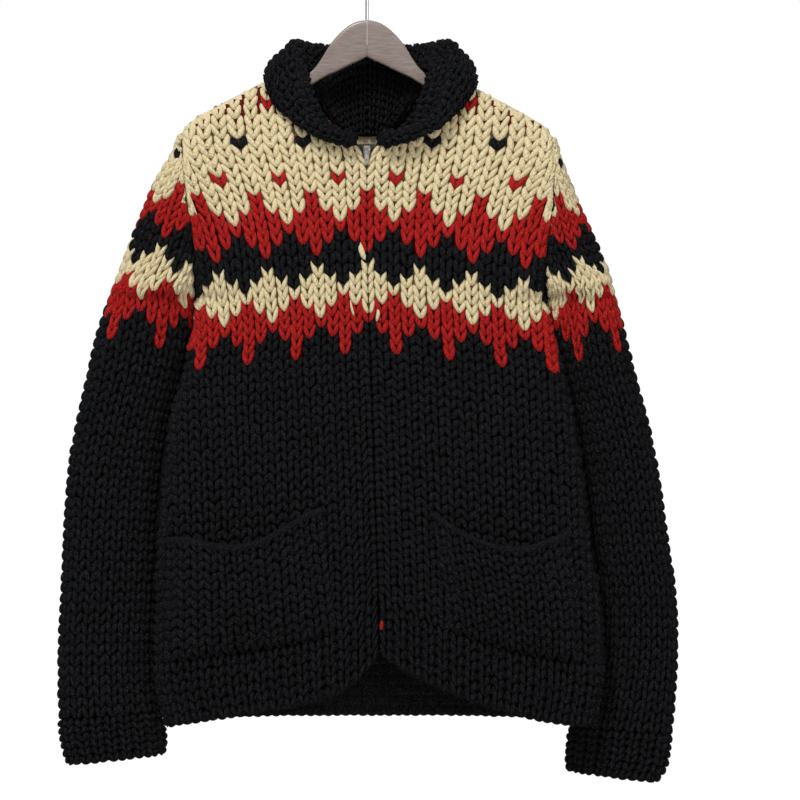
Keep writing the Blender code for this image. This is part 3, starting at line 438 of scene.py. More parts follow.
def square_to(point_at, part, down, step, reach):
    """Direction square to a surface, by small steps across and down that stay on it."""
    across = point_at(np.clip(part + step, 0, 1), down) - point_at(np.clip(part - step, 0, 1), down)
    along = point_at(part, down + reach) - point_at(part, down - reach)
    return unit(np.cross(across, along))


def torso_normal(face, side, part, down):
    """Outward direction of the body's surface."""
    def point_at(part, down):
        return torso_point(face, side, part, down)

    return square_to(point_at, part, down, 0.008, 2.5) * face * side


def sleeve_point(side, turn, down):
    """Outer surface of a sleeve: turn runs from the front armhole edge (0) round the arm (1)."""
    turn, down = np.broadcast_arrays(np.asarray(turn, dtype=float), np.asarray(down, dtype=float))
    table = LEFT_SLEEVE if side == LEFT else RIGHT_SLEEVE
    tip = tip_down(side)
    inner = column(table, SLEEVE_COLUMNS, "inner", down)
    armhole_x = torso(side_name(side), down)
    inner = np.where(down < UNDERARM_DOWN, armhole_x, inner)
    outer = column(table, SLEEVE_COLUMNS, "outer", down)
    depth = column(table, SLEEVE_COLUMNS, "depth", down)
    closed = smooth((down - tip) / (UNDERARM_DOWN - tip)) ** 1.5

    arch = np.sin(math.pi * turn)
    loop = (1 - np.cos(2 * math.pi * turn)) / 2
    across = (1 - closed) * arch + closed * loop
    cap_y = hanger_y(SHOULDER_HALF_WIDTH) * (1 - smooth((down - tip) / (UNDERARM_DOWN - tip)))
    inner_y = np.where(down < UNDERARM_DOWN, cap_y, column(table, SLEEVE_COLUMNS, "inner_y", down))
    outer_y = column(table, SLEEVE_COLUMNS, "outer_y", down)
    armhole = armhole_half_depth(side, down) * (down < UNDERARM_DOWN) + SEAM_GAP / 2
    half = armhole * np.cos(math.pi * turn) + closed * depth * np.sin(2 * math.pi * turn)
    x = inner + (outer - inner) * across + side * SLEEVE_GAP
    y = inner_y + (outer_y - inner_y) * across - half
    return np.stack([x, y, -down], axis=-1)


def sleeve_normal(side, turn, down):
    """Outward direction of a sleeve's surface."""
    def point_at(turn, down):
        return sleeve_point(side, turn, down)

    return square_to(point_at, turn, down, 0.012, 3) * -side


def inward_share(turn):
    """1 on the side of a sleeve that faces the body, 0 on the outer side."""
    return (1 + np.cos(2 * math.pi * turn)) / 2


def cuff_tilt_share(side, down):
    """How much of the cuff's tilt a sleeve has at one height: all of it at the cuff's end."""
    seam, end = CUFF_LEVELS[side]
    return smooth((down - seam + CUFF_TILT_REACH) / (end - seam + CUFF_TILT_REACH))


def neck_outward(point):
    """Level direction away from the middle of the neck."""
    return unit(np.asarray(point) * (1.0, 1.0, 0.0) + (0.0, 4.0, 0.0))


def collar_station(angle):
    """Base, roll and edge points of the collar at one angle round the neck (negative is left)."""
    side = LEFT if angle < 0 else RIGHT
    turn = abs(angle)
    face = FRONT if turn <= 90 else BACK
    scale = RIGHT_COLLAR_SCALE if side == RIGHT else 1.0

    def read(name):
        return float(column(COLLAR, COLLAR_COLUMNS, name, turn))

    start = top_out(face, 0.0)
    width = SHOULDER_HALF_WIDTH - start
    part = max(0.0, (NECK_HALF_WIDTH * math.sin(math.radians(turn)) - start) / width)
    rim = torso_point(face, side, part, top_down(face, side, part))
    base = rim - neck_outward(rim) * read("inset") + np.array([0.0, 0.0, read("lift")])
    roll = np.array([side * scale * read("roll_x"), read("roll_y"), -read("roll_down")])

    def opens(name):
        return np.interp(turn, COLLAR_OPENS[:, 0], COLLAR_OPENS[:, COLLAR_OPENS_COLUMNS.index(name)])

    roll += np.array([side * opens(side_name(side)), 0.0, -opens("lower")])

    edge_part = np.clip((scale * read("edge_x") - start) / width, 0.01, 0.99)
    edge_down = read("edge_down")
    normal = torso_normal(face, side, edge_part, edge_down)
    turned_up = COLLAR_EDGE_UP * math.exp(-((turn - 90) / COLLAR_EDGE_UP_SPREAD) ** 2)
    normal = unit(normal + np.array([0.0, 0.0, turned_up]))
    edge = torso_point(face, side, edge_part, edge_down)
    edge = edge + normal * (COLLAR_WALL / 2 + COLLAR_REST_GAP)
    return base, roll, edge


def collar_path(base, roll, edge):
    """Centre line of the folded collar, from the neck seam over the roll to the free edge."""
    outward = neck_outward(roll)
    gap = COLLAR_LAYER_GAP
    centre = roll - np.array([0.0, 0.0, gap])
    stand = centre - outward * gap
    fall = centre + outward * gap
    third, two_thirds, bulge_share = 0.33, 0.66, 0.9
    up = [base + (stand - base) * part for part in (0.0, third, two_thirds)]
    bend = []
    for angle in np.linspace(0, 180, 7):
        turn = math.radians(angle)
        bend.append(centre - outward * gap * math.cos(turn) + np.array([0, 0, gap * math.sin(turn)]))
    bulge = outward * COLLAR_FALL_BULGE * bulge_share
    over = [fall + (edge - fall) * part + bulge for part in (third, two_thirds)]
    return np.array(up + bend + over + [edge])


# ---------------------------------------------------------------------------------------------
# Knitting
# ---------------------------------------------------------------------------------------------

CREAM = 0
RED = 1
BLACK = 2
FLOAT = 3

# Heights are over the solid's surface, and pitches are between neighbours.
LOWEST = -4.0
SHELL_HEIGHT = LOWEST + 0.4
SHELL_WALL = 2.4
MERGE_DISTANCE = 0.02
STITCH_PITCH = 13.6
ROW_STEP = 11.4
RIM_HEIGHT = LOWEST + 0.2
BUMP_LOWEST = LOWEST - 1.6
# The yarn map on a leg: its length, half its width, its twist, and how far its start may lie.
YARN_LENGTH = 1.4
YARN_HALF_WIDTH = 0.25
PLY_TWIST = 0.28
YARN_MAP_REACH = 40
# Free border of a form's square in the bake map, and of a whole cloth's.
CELL_BORDER = 0.06
CLOTH_BORDER = 0.01
RIB_PITCH = 15.5
RIB_ROWS = 6
RIB_GUTTER = 1.8
COLLAR_RIBS = 18
COLLAR_STEPS = 6
COLLAR_ROW = 8.6
COLLAR_ROWS = 27
COLLAR_SHELL_WALL = 4.6
EDGE_RADIUS = 2.4
EDGE_LINK = 9.5
# Steps of the grids that surfaces are worked out on, in stitches, rows or ribs.
FINE_STEP = 0.25
COARSE_STEP = 0.5
RIB_STEP = 0.125

# How unevenly the stitches lie: widths and lengths as shares, places in stitches or rows, and
# heights in millimetres, all as standard deviations.
UNEVEN_WIDTH = 0.06
UNEVEN_PLACE = 0.022
UNEVEN_SLANT = 0.03
UNEVEN_LENGTH = 0.04
UNEVEN_ROW = 0.04
UNEVEN_HEIGHT = 0.25

# One leg of a stitch, from its tip up: rows up, middle and half width in stitches, height.
LEG = np.array([
    (-0.15, 0.05, 0.05, -1.2),
    (0.0, 0.095, 0.14, 0.8),
    (0.24, 0.155, 0.195, 1.6),
    (0.55, 0.235, 0.215, 1.4),
    (0.88, 0.295, 0.21, 0.4),
    (1.18, 0.34, 0.17, -1.3),
    (1.46, 0.37, 0.08, -3.7),
], dtype=float)
# The same leg in the fuller black yarn: neighbours grow together into short mounds.
FULL_LEG = np.array([
    (-0.08, 0.07, 0.07, -1.6),
    (0.05, 0.13, 0.17, 0.8),
    (0.28, 0.20, 0.23, 1.9),
    (0.56, 0.265, 0.25, 1.9),
    (0.84, 0.30, 0.245, 0.8),
    (1.06, 0.315, 0.20, -1.3),
    (1.22, 0.32, 0.10, -3.9),
], dtype=float)
LEG_TURNS = np.radians((-80, -42, 0, 42, 80))

# One bump of a purl stitch between two ribs, from side to side: place, half height, height.
BUMP = np.array([
    (-0.24, 0.14, -3.8),
    (-0.13, 0.32, -2.4),
    (0.0, 0.38, -2.1),
    (0.13, 0.32, -2.4),
    (0.24, 0.14, -3.8),
], dtype=float)
BUMP_TURNS = np.radians((-80, -30, 30, 80))

# Height of the tip of each row at the zip, in millimetres down, and how far it droops to the side.
# The chart's rows are counted from the first red row; rows above it are the yoke.
ROW_COLUMNS = ("row", "down", "left_droop", "right_droop", "left_pitch", "right_pitch")
ROWS = np.array([
    (-18, 95, 0, 0, 18.4, 18.7),
    (-14, 135, 0, 0, 18.2, 18.5),
    (-10, 176, 0, 2, 17.9, 18.2),
    (-6, 217, 2, 5, 17.1, 17.5),
    (-2, 256.5, 4, 9, 15.5, 15.8),
    (0, 274, 7, 12, 14.8, 15.2),
    (3, 307, 10, 17, 13.9, 14.4),
    (5, 330, 13, 21, 13.5, 14.1),
    (6, 342.5, 14, 22, 13.4, 14.0),
    (9, 374, 18, 23, 13.1, 13.9),
    (12, 406, 20, 23, 13.0, 13.9),
    (15, 437, 22, 24, 13.3, 14.1),
], dtype=float)
FIRST_ROW = -18
LAST_CHART_ROW = 15
SEAM_ROW = 43
BACK_PITCH = 13.8
PANEL_PITCH = 13.5
PANEL_STITCHES = 19.0

# The sleeve's rows at its outer side.
SLEEVE_ROW_COLUMNS = ("row", "left_down", "right_down")
SLEEVE_ROWS = np.array([
    (-8, 171, 186),
    (-4, 208, 222),
    (0, 252, 266),
    (5, 304, 318),
    (9, 351, 364),
    (11, 375, 388),
    (15, 422, 436),
], dtype=float)
SLEEVE_FIRST_ROW = -8
SLEEVE_SEAM_ROW = 51
SLEEVE_STITCHES = 20
SLEEVE_ROW_TILT = 17.0

# Single stitches on the plain yoke: row, then place in the repeat and yarn.
YOKE_FLECKS = {-10: (2, RED), -6: (0, BLACK), -2: (2, RED)}
SLEEVE_FLECKS = {-3: (2, BLACK)}
# Rows with red yarn carried behind them, and the row above which the stitches lie looser.
FLOAT_ROWS = range(-15, -7)
LOOSE_ROW = -8
LOOSE_WIDTH = 0.87


# Rows of the chart from 0 down: the last place in the repeat with the first yarn, and both yarns.
BANDS = (
    (0, RED, CREAM), (0, RED, CREAM), (1, RED, CREAM), (2, RED, RED),
    (1, RED, BLACK), (0, RED, BLACK), (2, BLACK, BLACK),
    (0, CREAM, BLACK), (1, CREAM, BLACK), (2, CREAM, CREAM),
    (1, CREAM, RED), (0, CREAM, RED), (2, RED, RED),
    (0, BLACK, RED), (1, BLACK, RED), (1, BLACK, RED),
)


def chart(row, number, flecks):
    """Yarn of a stitch: four columns repeat, and `number` counts them from the zip."""
    place = min(abs(number) % 4, 4 - abs(number) % 4)
    if row < 0:
        at, yarn = flecks.get(row, (None, CREAM))
        return yarn if place == at else CREAM
    if row >= len(BANDS):
        return BLACK
    widest, first, second = BANDS[row]
    return first if place <= widest else second


class Patch:
    """Knitted surface on an even grid: u counts stitches across, v counts rows down.

    `beyond` says how far, in stitches, a place of the grid lies outside the cloth.
    """

    def __init__(self, u, v, points, normals, beyond):
        self.u = u
        self.v = v
        self.points = points
        self.normals = normals
        self.beyond = beyond

    def turned(self, depth):
        """The cloth's other face, `depth` behind this one."""
        return Patch(self.u, self.v, self.points - self.normals * depth, -self.normals, self.beyond)

    def below(self, v):
        """The part of the patch from row v down."""
        first = int(round((v - self.v[0]) / (self.v[1] - self.v[0])))
        return Patch(self.u, self.v[first:], self.points[first:], self.normals[first:], self.beyond[first:])

    def read(self, values, u, v):
        """Values of the grid at places between its points."""
        across = np.clip((u - self.u[0]) / (self.u[1] - self.u[0]), 0, len(self.u) - 1.001)
        along = np.clip((v - self.v[0]) / (self.v[1] - self.v[0]), 0, len(self.v) - 1.001)
        col = across.astype(int)
        row = along.astype(int)
        part_u = (across - col)[..., None]
        part_v = (along - row)[..., None]
        if values.ndim == 2:
            part_u = part_u[..., 0]
            part_v = part_v[..., 0]
        upper = values[row, col] * (1 - part_u) + values[row, col + 1] * part_u
        lower = values[row + 1, col] * (1 - part_u) + values[row + 1, col + 1] * part_u
        return upper * (1 - part_v) + lower * part_v

    def at(self, u, v, height):
        """Points at a height over the cloth."""
        normals = unit(self.read(self.normals, u, v))
        return self.read(self.points, u, v) + normals * np.asarray(height)[..., None]


def grid_steps(low, high, step):
    """Even steps from low to high, with both."""
    return low + step * np.arange(int(round((high - low) / step)) + 1)


def row_down(face, side, row, part):
    """Height of a row at one part of the way across a panel."""
    def level(at):
        down = column(ROWS, ROW_COLUMNS, "down", at)
        left = column(ROWS, ROW_COLUMNS, "left_droop", at)
        right = column(ROWS, ROW_COLUMNS, "right_droop", at)
        droop = (left + right) / 2 if face == BACK else (left if side == LEFT else right)
        return down + droop * part

    last = level(np.full_like(row, LAST_CHART_ROW))
    seam = hem_down(face, side, part) - HEM_RIB
    below = (row - LAST_CHART_ROW) / (SEAM_ROW - LAST_CHART_ROW)
    return np.where(row <= LAST_CHART_ROW, level(row), last + (seam - last) * below)


def panel_pitch(face, side, row):
    """Width of a stitch on a panel, by row."""
    if face == BACK:
        widest = column(ROWS, ROW_COLUMNS, "right_pitch", row)
        return np.where(row > LAST_CHART_ROW, BACK_PITCH, (widest + BACK_PITCH) / 2)
    return column(ROWS, ROW_COLUMNS, side_name(side) + "_pitch", row)


def panel_patch(face, side):
    """Half of the back, or one front, with u counted from the middle or the front edge.

    A row's height depends on how far across it is read, and the other way round, so the two are
    worked out in turns. The front edge's way from the middle is eased out over the next stitches.
    """
    edge_ease, turns = 1.2, 6
    u = grid_steps(0.0, PANEL_STITCHES, FINE_STEP)
    v = grid_steps(FIRST_ROW, SEAM_ROW, FINE_STEP)
    across, row = np.meshgrid(u, v)
    part = np.full_like(across, 0.5)
    for _ in range(turns):
        down = row_down(face, side, row, part)
        start, end = panel_ends(face, side, down)
        gap = np.abs(start - torso("centre", down)) * (1 - np.exp(-across / edge_ease))
        raw_part = np.maximum(across * panel_pitch(face, side, row) - gap, 0) / np.abs(end - start)
        part = np.clip(raw_part, 0, 1)
    top = top_down(face, side, part)
    past_side = (raw_part - 1) * np.abs(end - start) / PANEL_PITCH
    beyond = np.maximum(past_side, (top - down) / ROW_STEP)
    down = np.maximum(down, top)
    points = torso_point(face, side, part, down)
    return Patch(u, v, points, torso_normal(face, side, part, down + 0.5), beyond)


def whole_back(left, right):
    """Both halves of the back as one patch, with the left half's columns below zero."""
    def both(name):
        return np.concatenate([getattr(left, name)[:, ::-1], getattr(right, name)[:, 1:]], axis=1)

    u = np.concatenate([-left.u[::-1], right.u[1:]])
    return Patch(u, left.v, both("points"), both("normals"), both("beyond"))


def round_arm(side, down_at, count, rows):
    """Grid of `count` stitches or ribs round a sleeve, at even lengths from its outer line.

    Above the underarm the sleeve's head is open, and the columns past its edges lie beyond it.
    """
    overlap = 0.12
    u = grid_steps(-count / 2 - 0.5, count / 2 + 0.5, FINE_STEP)
    turns = np.linspace(-overlap, 1 + overlap, 249)
    underarm = sleeve_point(side, turns % 1.0, np.full_like(turns, UNDERARM_DOWN + 1))
    steps = np.linalg.norm(np.diff(underarm, axis=0), axis=1)
    head_pitch = steps[(turns[1:] > 0) & (turns[1:] <= 1)].sum() / count
    points = np.zeros((len(rows), len(u), 3))
    normals = np.zeros_like(points)
    beyond = np.full((len(rows), len(u)), -1.0)
    tip = tip_down(side)
    for i, row in enumerate(rows):
        down = np.maximum(down_at(row, turns % 1.0), tip + 0.5)
        length = lengths(sleeve_point(side, turns % 1.0, down))
        length -= np.interp(0.5, turns, length)
        ends = np.interp((0.0, 1.0), turns, length)
        if down_at(row, np.array(0.0)) < UNDERARM_DOWN:
            reach = u * head_pitch
            turn = np.interp(np.clip(reach, *ends), length, turns)
            beyond[i] = np.maximum(ends[0] - reach, reach - ends[1]) / head_pitch
            beyond[i] = np.maximum(beyond[i], (tip - down_at(row, turn)) / ROW_STEP)
        else:
            turn = np.interp(u * ((ends[1] - ends[0]) / count), length, turns)
        turn = np.where((turn < 0) | (turn > 1), turn % 1.0, turn)
        level = np.maximum(down_at(row, turn), tip + 0.5)
        points[i] = sleeve_point(side, turn, level)
        normals[i] = sleeve_normal(side, turn, level)
    return Patch(u, rows, points, normals, beyond)


def sleeve_patch(side):
    """Stockinette of a sleeve: its chart rows lie higher at the outer side."""
    seam = CUFF_LEVELS[side][0]
    seam_rise = CUFF_TILT * float(cuff_tilt_share(side, seam))
    name = side_name(side) + "_down"

    def down_at(row, turn):
        outer = column(SLEEVE_ROWS, SLEEVE_ROW_COLUMNS, name, row)
        last = column(SLEEVE_ROWS, SLEEVE_ROW_COLUMNS, name, LAST_CHART_ROW)
        below = np.clip((row - LAST_CHART_ROW) / (SLEEVE_SEAM_ROW - LAST_CHART_ROW), 0, 1)
        outer = np.where(row <= LAST_CHART_ROW, outer, last + (seam - last) * below)
        tilt = SLEEVE_ROW_TILT + (-seam_rise - SLEEVE_ROW_TILT) * below
        return outer + tilt * inward_share(turn)

    rows = grid_steps(SLEEVE_FIRST_ROW, SLEEVE_SEAM_ROW, COARSE_STEP)
    return round_arm(side, down_at, SLEEVE_STITCHES, rows)


def cuff_patch(side):
    """Rib of a cuff, and how many ribs it has."""
    seam, end = CUFF_LEVELS[side]
    turns = np.linspace(0, 1, 201)
    line = sleeve_point(side, turns, np.full_like(turns, seam))
    count = int(round(lengths(line)[-1] / RIB_PITCH))

    def down_at(row, turn):
        down = seam + SEAM_GAP + (end - seam - SEAM_GAP) * row / RIB_ROWS
        return down - CUFF_TILT * inward_share(turn) * cuff_tilt_share(side, down)

    return round_arm(side, down_at, count, grid_steps(-1.0, RIB_ROWS, COARSE_STEP)), count


def hem_patch(face, side):
    """Hem rib of a front or half of the back, with u counted in ribs from the zip or middle."""
    fine = np.linspace(0, 1, 401)
    length = lengths(torso_point(face, side, fine, np.full_like(fine, SIDE_HEM_DOWN - HEM_RIB)))
    count = int(round(length[-1] / RIB_PITCH))
    u = grid_steps(0.0, count, RIB_STEP)
    v = grid_steps(-1.0, RIB_ROWS, COARSE_STEP)
    across, row = np.meshgrid(u, v)
    part = np.interp(across / count * length[-1], length, fine)
    down = hem_down(face, side, part) - (HEM_RIB - SEAM_GAP) * (1 - row / RIB_ROWS)
    points = torso_point(face, side, part, down)
    return Patch(u, v, points, torso_normal(face, side, part, down), np.full_like(across, -1.0)), count


def pocket_patch(row):
    """Patch pocket over a front: its foot and sides are sewn down, its mouth stands open."""
    side, mouth_in, foot_in, out, mouth_in_down, mouth_out_down, sag = row
    side = int(side)
    fullness, mouth_fade, foot_stretch = 0.8, 1.2, 1.4
    reach = abs(torso(side_name(side), POCKET_LEVEL) - torso("centre", POCKET_LEVEL))
    stitches = int(round((out - mouth_in) * reach / STITCH_PITCH))
    u = grid_steps(0.0, stitches, FINE_STEP)
    v = grid_steps(0.0, POCKET_ROWS, FINE_STEP)
    across, lower = np.meshgrid(u / stitches, v / POCKET_ROWS)
    inner_part = mouth_in + (foot_in - mouth_in) * lower
    part = inner_part + (out - inner_part) * across
    hang = np.sin(math.pi * across) ** (2 if side == LEFT else 1)
    mouth = mouth_in_down + (mouth_out_down - mouth_in_down) * across + sag * hang
    foot = hem_down(FRONT, side, part) - HEM_RIB - POCKET_FOOT_RISE
    down = mouth + (foot - mouth) * lower
    normal = torso_normal(FRONT, side, part, down)
    middle = np.clip(np.sin(math.pi * across), 0, 1) ** fullness
    bulge = middle * POCKET_MOUTH_BULGE * (1 - lower) ** mouth_fade
    bulge = bulge + middle * POCKET_BELLY_BULGE * np.sin(math.pi * lower)
    to_side = np.minimum(across, 1 - across) * stitches
    to_foot = (1 - lower) * POCKET_ROWS * foot_stretch
    from_seam = smooth(np.minimum(to_side, to_foot) / POCKET_SEAM_WIDTH)
    proud = POCKET_SEWN + (POCKET_WALL + POCKET_GAP - POCKET_SEWN) * from_seam
    points = torso_point(FRONT, side, part, down) + normal * (bulge + proud)[..., None]
    normals = unit(np.cross(np.gradient(points, axis=0), np.gradient(points, axis=1)) * side)
    return Patch(u, v, points, normals, np.full(across.shape, -1.0)), stitches


def outline_of(patch):
    """Closed line round a patch, as the front is seen: x and height."""
    top = patch.points[0]
    foot = patch.points[-1, ::-1]
    line = np.concatenate([top, patch.points[:, -1], foot, patch.points[::-1, 0]])
    return line[:, [0, 2]]


def inside(outline, points):
    """Which points lie within a closed line, as the front is seen."""
    x = points[:, 0][:, None]
    z = points[:, 2][:, None]
    x0, z0 = outline[:, 0][None], outline[:, 1][None]
    x1, z1 = np.roll(outline[:, 0], -1)[None], np.roll(outline[:, 1], -1)[None]
    spans = (z0 > z) != (z1 > z)
    slope = np.where(np.abs(z1 - z0) < 1e-9, 1e-9, z1 - z0)
    crossings = spans & (x < (x1 - x0) * (z - z0) / slope + x0)
    return crossings.sum(axis=1) % 2 == 1


def collar_patch():
    """The face of the folded collar that shows; v counts rows from the free edge to the seam."""
    steps = COLLAR_RIBS * COLLAR_STEPS
    turns = np.linspace(COLLAR[0, 0], 180, steps + 1)
    angles = np.concatenate([-turns, turns[::-1][1:]])
    centre = np.array([collar_path(*collar_station(angle)) for angle in angles])
    normal = unit(np.cross(np.gradient(centre, axis=1), np.gradient(centre, axis=0)))
    if np.sum(normal[:, -2] * neck_outward(centre[:, -1])) < 0:
        normal = -normal
    surface = centre + normal * (COLLAR_WALL / 2 - 0.8)
    u = (np.arange(len(angles)) - steps) / COLLAR_STEPS
    rows = grid_steps(0.0, COLLAR_ROWS, COARSE_STEP)
    points = np.zeros((len(rows), len(angles), 3))
    normals = np.zeros_like(points)
    beyond = np.zeros(points.shape[:2])
    for i in range(len(angles)):
        length = lengths(surface[i, ::-1])
        reach = np.clip(rows * COLLAR_ROW, 0, length[-1])
        points[:, i] = along_line(reach, length, surface[i, ::-1])
        normals[:, i] = along_line(reach, length, normal[i, ::-1])
        beyond[:, i] = (rows * COLLAR_ROW - length[-1]) / COLLAR_ROW
    return Patch(u, rows, points, unit(normals), beyond)


def raised(across, up, crest, low, turns):
    """Grid of a form that rises from `low` to a crest, as places across, up and heights."""
    top = (np.cos(turns) - math.cos(turns[-1])) / (1 - math.cos(turns[-1]))
    return across, up, low + (crest - low) * top[None, :]


def leg_points(sign, table):
    """Grid of one leg: places across (stitches), up (rows) and heights, for each ring."""
    up, centre, half, crest = table.T[..., None]
    side = np.sin(LEG_TURNS)[None, :] / math.sin(LEG_TURNS[-1])
    up = np.repeat(up, len(LEG_TURNS), axis=1)
    return raised(sign * (centre + half * side), up, crest, LOWEST, LEG_TURNS)


def bump_points():
    """Grid of one purl bump, like a short bar laid across."""
    across, half, crest = BUMP.T[..., None]
    side = np.sin(BUMP_TURNS)[None, :] / math.sin(BUMP_TURNS[-1])
    across = np.repeat(across, len(BUMP_TURNS), axis=1)
    return raised(across, 0.5 + half * side, crest, BUMP_LOWEST, BUMP_TURNS)


def grid_faces(index):
    """Four-cornered faces between the neighbours of a grid of point numbers."""
    corners = [index[:-1, :-1], index[:-1, 1:], index[1:, 1:], index[1:, :-1]]
    return np.stack(corners, axis=-1)


def flat_faces(rows, columns):
    """List of the faces of a whole grid of points."""
    return grid_faces(np.arange(rows * columns).reshape(rows, columns)).reshape(-1, 4)


def facing(points, faces, outward):
    """The faces, turned over if they look against the outward direction of their points."""
    corner = points[faces]
    normals = np.cross(corner[:, 2] - corner[:, 0], corner[:, 3] - corner[:, 1])
    agreement = np.sum(normals * outward[faces].mean(axis=1))
    return faces if agreement > 0 else faces[:, ::-1]


def uv_cells(first, count, total, rings, around):
    """Squares of the bake map for `count` forms of `total`, from number `first` on."""
    cells = int(math.ceil(math.sqrt(total)))
    number = first + np.arange(count)
    corner = np.stack([number % cells, number // cells], axis=-1)[:, None, None, :]
    turn, ring = np.meshgrid(*(np.linspace(CELL_BORDER, 1 - CELL_BORDER, n) for n in (around, rings)))
    return (corner + np.stack([turn, ring], axis=-1)[None]) / cells


def add_uv(mesh, name, per_point):
    """UV map from one value for each point."""
    layer = mesh.uv_layers.new(name=name)
    corners = np.zeros(len(mesh.loops), dtype=np.int32)
    mesh.loops.foreach_get("vertex_index", corners)
    layer.data.foreach_set("uv", per_point[corners].astype(np.float32).ravel())


def add_object(name, data):
    """New object in the scene."""
    obj = bpy.data.objects.new(name, data)
    bpy.context.scene.collection.objects.link(obj)
    return obj


def mesh_from(name, points, faces, face_yarn, materials, bake_uv=None, yarn_uv=None):
    """Smooth mesh object from points in millimetres and faces of four corners."""
    mesh = bpy.data.meshes.new(name)
    mesh.vertices.add(len(points))
    mesh.vertices.foreach_set("co", (points * MM).astype(np.float32).ravel())
    mesh.loops.add(faces.size)
    mesh.loops.foreach_set("vertex_index", faces.astype(np.int32).ravel())
    mesh.polygons.add(len(faces))
    mesh.polygons.foreach_set("loop_start", np.arange(0, faces.size, faces.shape[1], dtype=np.int32))
    for material in materials:
        mesh.materials.append(material)
    yarns = np.broadcast_to(np.asarray(face_yarn, dtype=np.int32), len(faces))
    mesh.polygons.foreach_set("material_index", np.ascontiguousarray(yarns))
    mesh.update(calc_edges=True)
    mesh.validate()
    if bake_uv is not None:
        add_uv(mesh, "OFBake", bake_uv)
        add_uv(mesh, "Yarn", yarn_uv)
    mesh.shade_smooth()
    return add_object(name, mesh)


def thicken(obj, thickness, offset):
    """Make a sheet a closed wall, `thickness` millimetres through."""
    solidify = obj.modifiers.new("wall", "SOLIDIFY")
    solidify.thickness = thickness * MM
    solidify.offset = offset
    return solidify


class Knitting:
    """Collects the legs and bumps of one piece's stitches, then makes one mesh of them."""

    def __init__(self):
        self.points = []
        self.faces = []
        self.yarns = []
        self.yarn_uv = []
        self.forms = []

    def keep(self, points, faces, yarn_uv, yarns):
        """Take in `count` forms of one shape: points are count x rings x around x 3."""
        count, rings, around = points.shape[:3]
        start = sum(form[0] * form[1] * form[2] for form in self.forms)
        offsets = start + np.arange(count)[:, None, None] * rings * around
        self.points.append(points.reshape(-1, 3))
        self.faces.append((faces[None] + offsets).reshape(-1, 4))
        self.yarns.append(np.repeat(np.broadcast_to(yarns, count), len(faces)))
        self.yarn_uv.append(yarn_uv.reshape(-1, 2))
        self.forms.append((count, rings, around))

    def add(self, patch, shape, u, v, yarns, width=1.0, lift=0.0):
        """Lay one form (a leg or bump) at each stitch place."""
        across, up, height = shape
        slants_about = 0.6
        count = len(u)
        rings, around = across.shape

        def vary(amount):
            return RANDOM.normal(0, amount, count)[:, None, None]

        place_u = u[:, None, None] + across[None] * (1 + vary(UNEVEN_WIDTH)) * width
        place_u = place_u + vary(UNEVEN_PLACE) + vary(UNEVEN_SLANT) * (up[None] - slants_about)
        place_v = v[:, None, None] - up[None] * (1 + vary(UNEVEN_LENGTH)) + vary(UNEVEN_ROW)
        above = height[None] > RIM_HEIGHT
        points = patch.at(place_u, place_v, height[None] + (vary(UNEVEN_HEIGHT) + lift) * above)
        outward = patch.read(patch.normals, place_u[0], place_v[0])
        faces = facing(points[0].reshape(-1, 3), flat_faces(rings, around), outward.reshape(-1, 3))
        along = np.linspace(0, YARN_LENGTH, rings)[:, None] + np.zeros((1, around))
        twisted = np.linspace(-YARN_HALF_WIDTH, YARN_HALF_WIDTH, around)[None] + PLY_TWIST * along
        start = RANDOM.random((count, 1, 1, 2)) * YARN_MAP_REACH
        self.keep(points, faces, np.stack([twisted, along], axis=-1)[None] + start, yarns)

    def stitches(self, patch, u, v, yarns, width=1.0, lift=0.0, legs=(-1, 1), table=FULL_LEG):
        """Knit stitches, each of a left and a right leg, or of one leg at an edge."""
        for sign in legs:
            self.add(patch, leg_points(sign, table), u, v, yarns, width, lift)

    def bumps(self, patch, u, v, lift=0.0):
        """Purl stitches in the plain yarn."""
        self.add(patch, bump_points(), u, v, 0, 1.0, lift)

    def loose_end(self, patch, u, v, yarn, width, lift):
        """One leg of yarn that stands out of the cloth."""
        self.stitches(patch, np.array([u]), np.array([v]), yarn, width, lift, (1,), LEG)

    def edge(self, line, outward, normal, radius=EDGE_RADIUS, linked=True):
        """Cast-off edge: a small roll of cloth along a line, with a chain of links on it."""
        first_turn, turn_step, link_sink, rough_sink = math.radians(38), math.radians(80), 0.8, 0.7
        length = lengths(line)
        links = int(length[-1] / EDGE_LINK)
        v = grid_steps(0.0, links, FINE_STEP)
        u = grid_steps(-1.5, 1.5, FINE_STEP)
        at = v / links * length[-1]
        turn = (first_turn + u * turn_step)[None, :, None]
        away = unit(along_line(at, length, normal))[:, None] * np.cos(turn)
        away = unit(away + unit(along_line(at, length, outward))[:, None] * np.sin(turn))
        points = along_line(at, length, line)[:, None] + away * radius
        roll = Patch(u, v, points, away, np.full(points.shape[:2], -1.0))
        if linked:
            where = np.arange(1, links + 1).astype(float)
            self.stitches(roll, np.zeros(links), where, 0, 1.15)
            sink = link_sink
        else:
            sink = RANDOM.random(points.shape[:2])[..., None] * rough_sink
        base = points - away * sink
        faces = facing(base.reshape(-1, 3), flat_faces(len(v), len(u)), away.reshape(-1, 3))
        self.keep(base[None], faces, np.stack(np.meshgrid(u, v), axis=-1)[None], 0)

    def make(self, name, materials):
        """One mesh of all the forms, each with its own square of the bake map."""
        total = sum(form[0] for form in self.forms)
        bake = []
        done = 0
        for form in self.forms:
            bake.append(uv_cells(done, form[0], total, *form[1:]).reshape(-1, 2))
            done += form[0]
        parts = [np.concatenate(each) for each in (self.points, self.faces, self.yarns)]
        return mesh_from(name, *parts, materials, np.concatenate(bake), np.concatenate(self.yarn_uv))


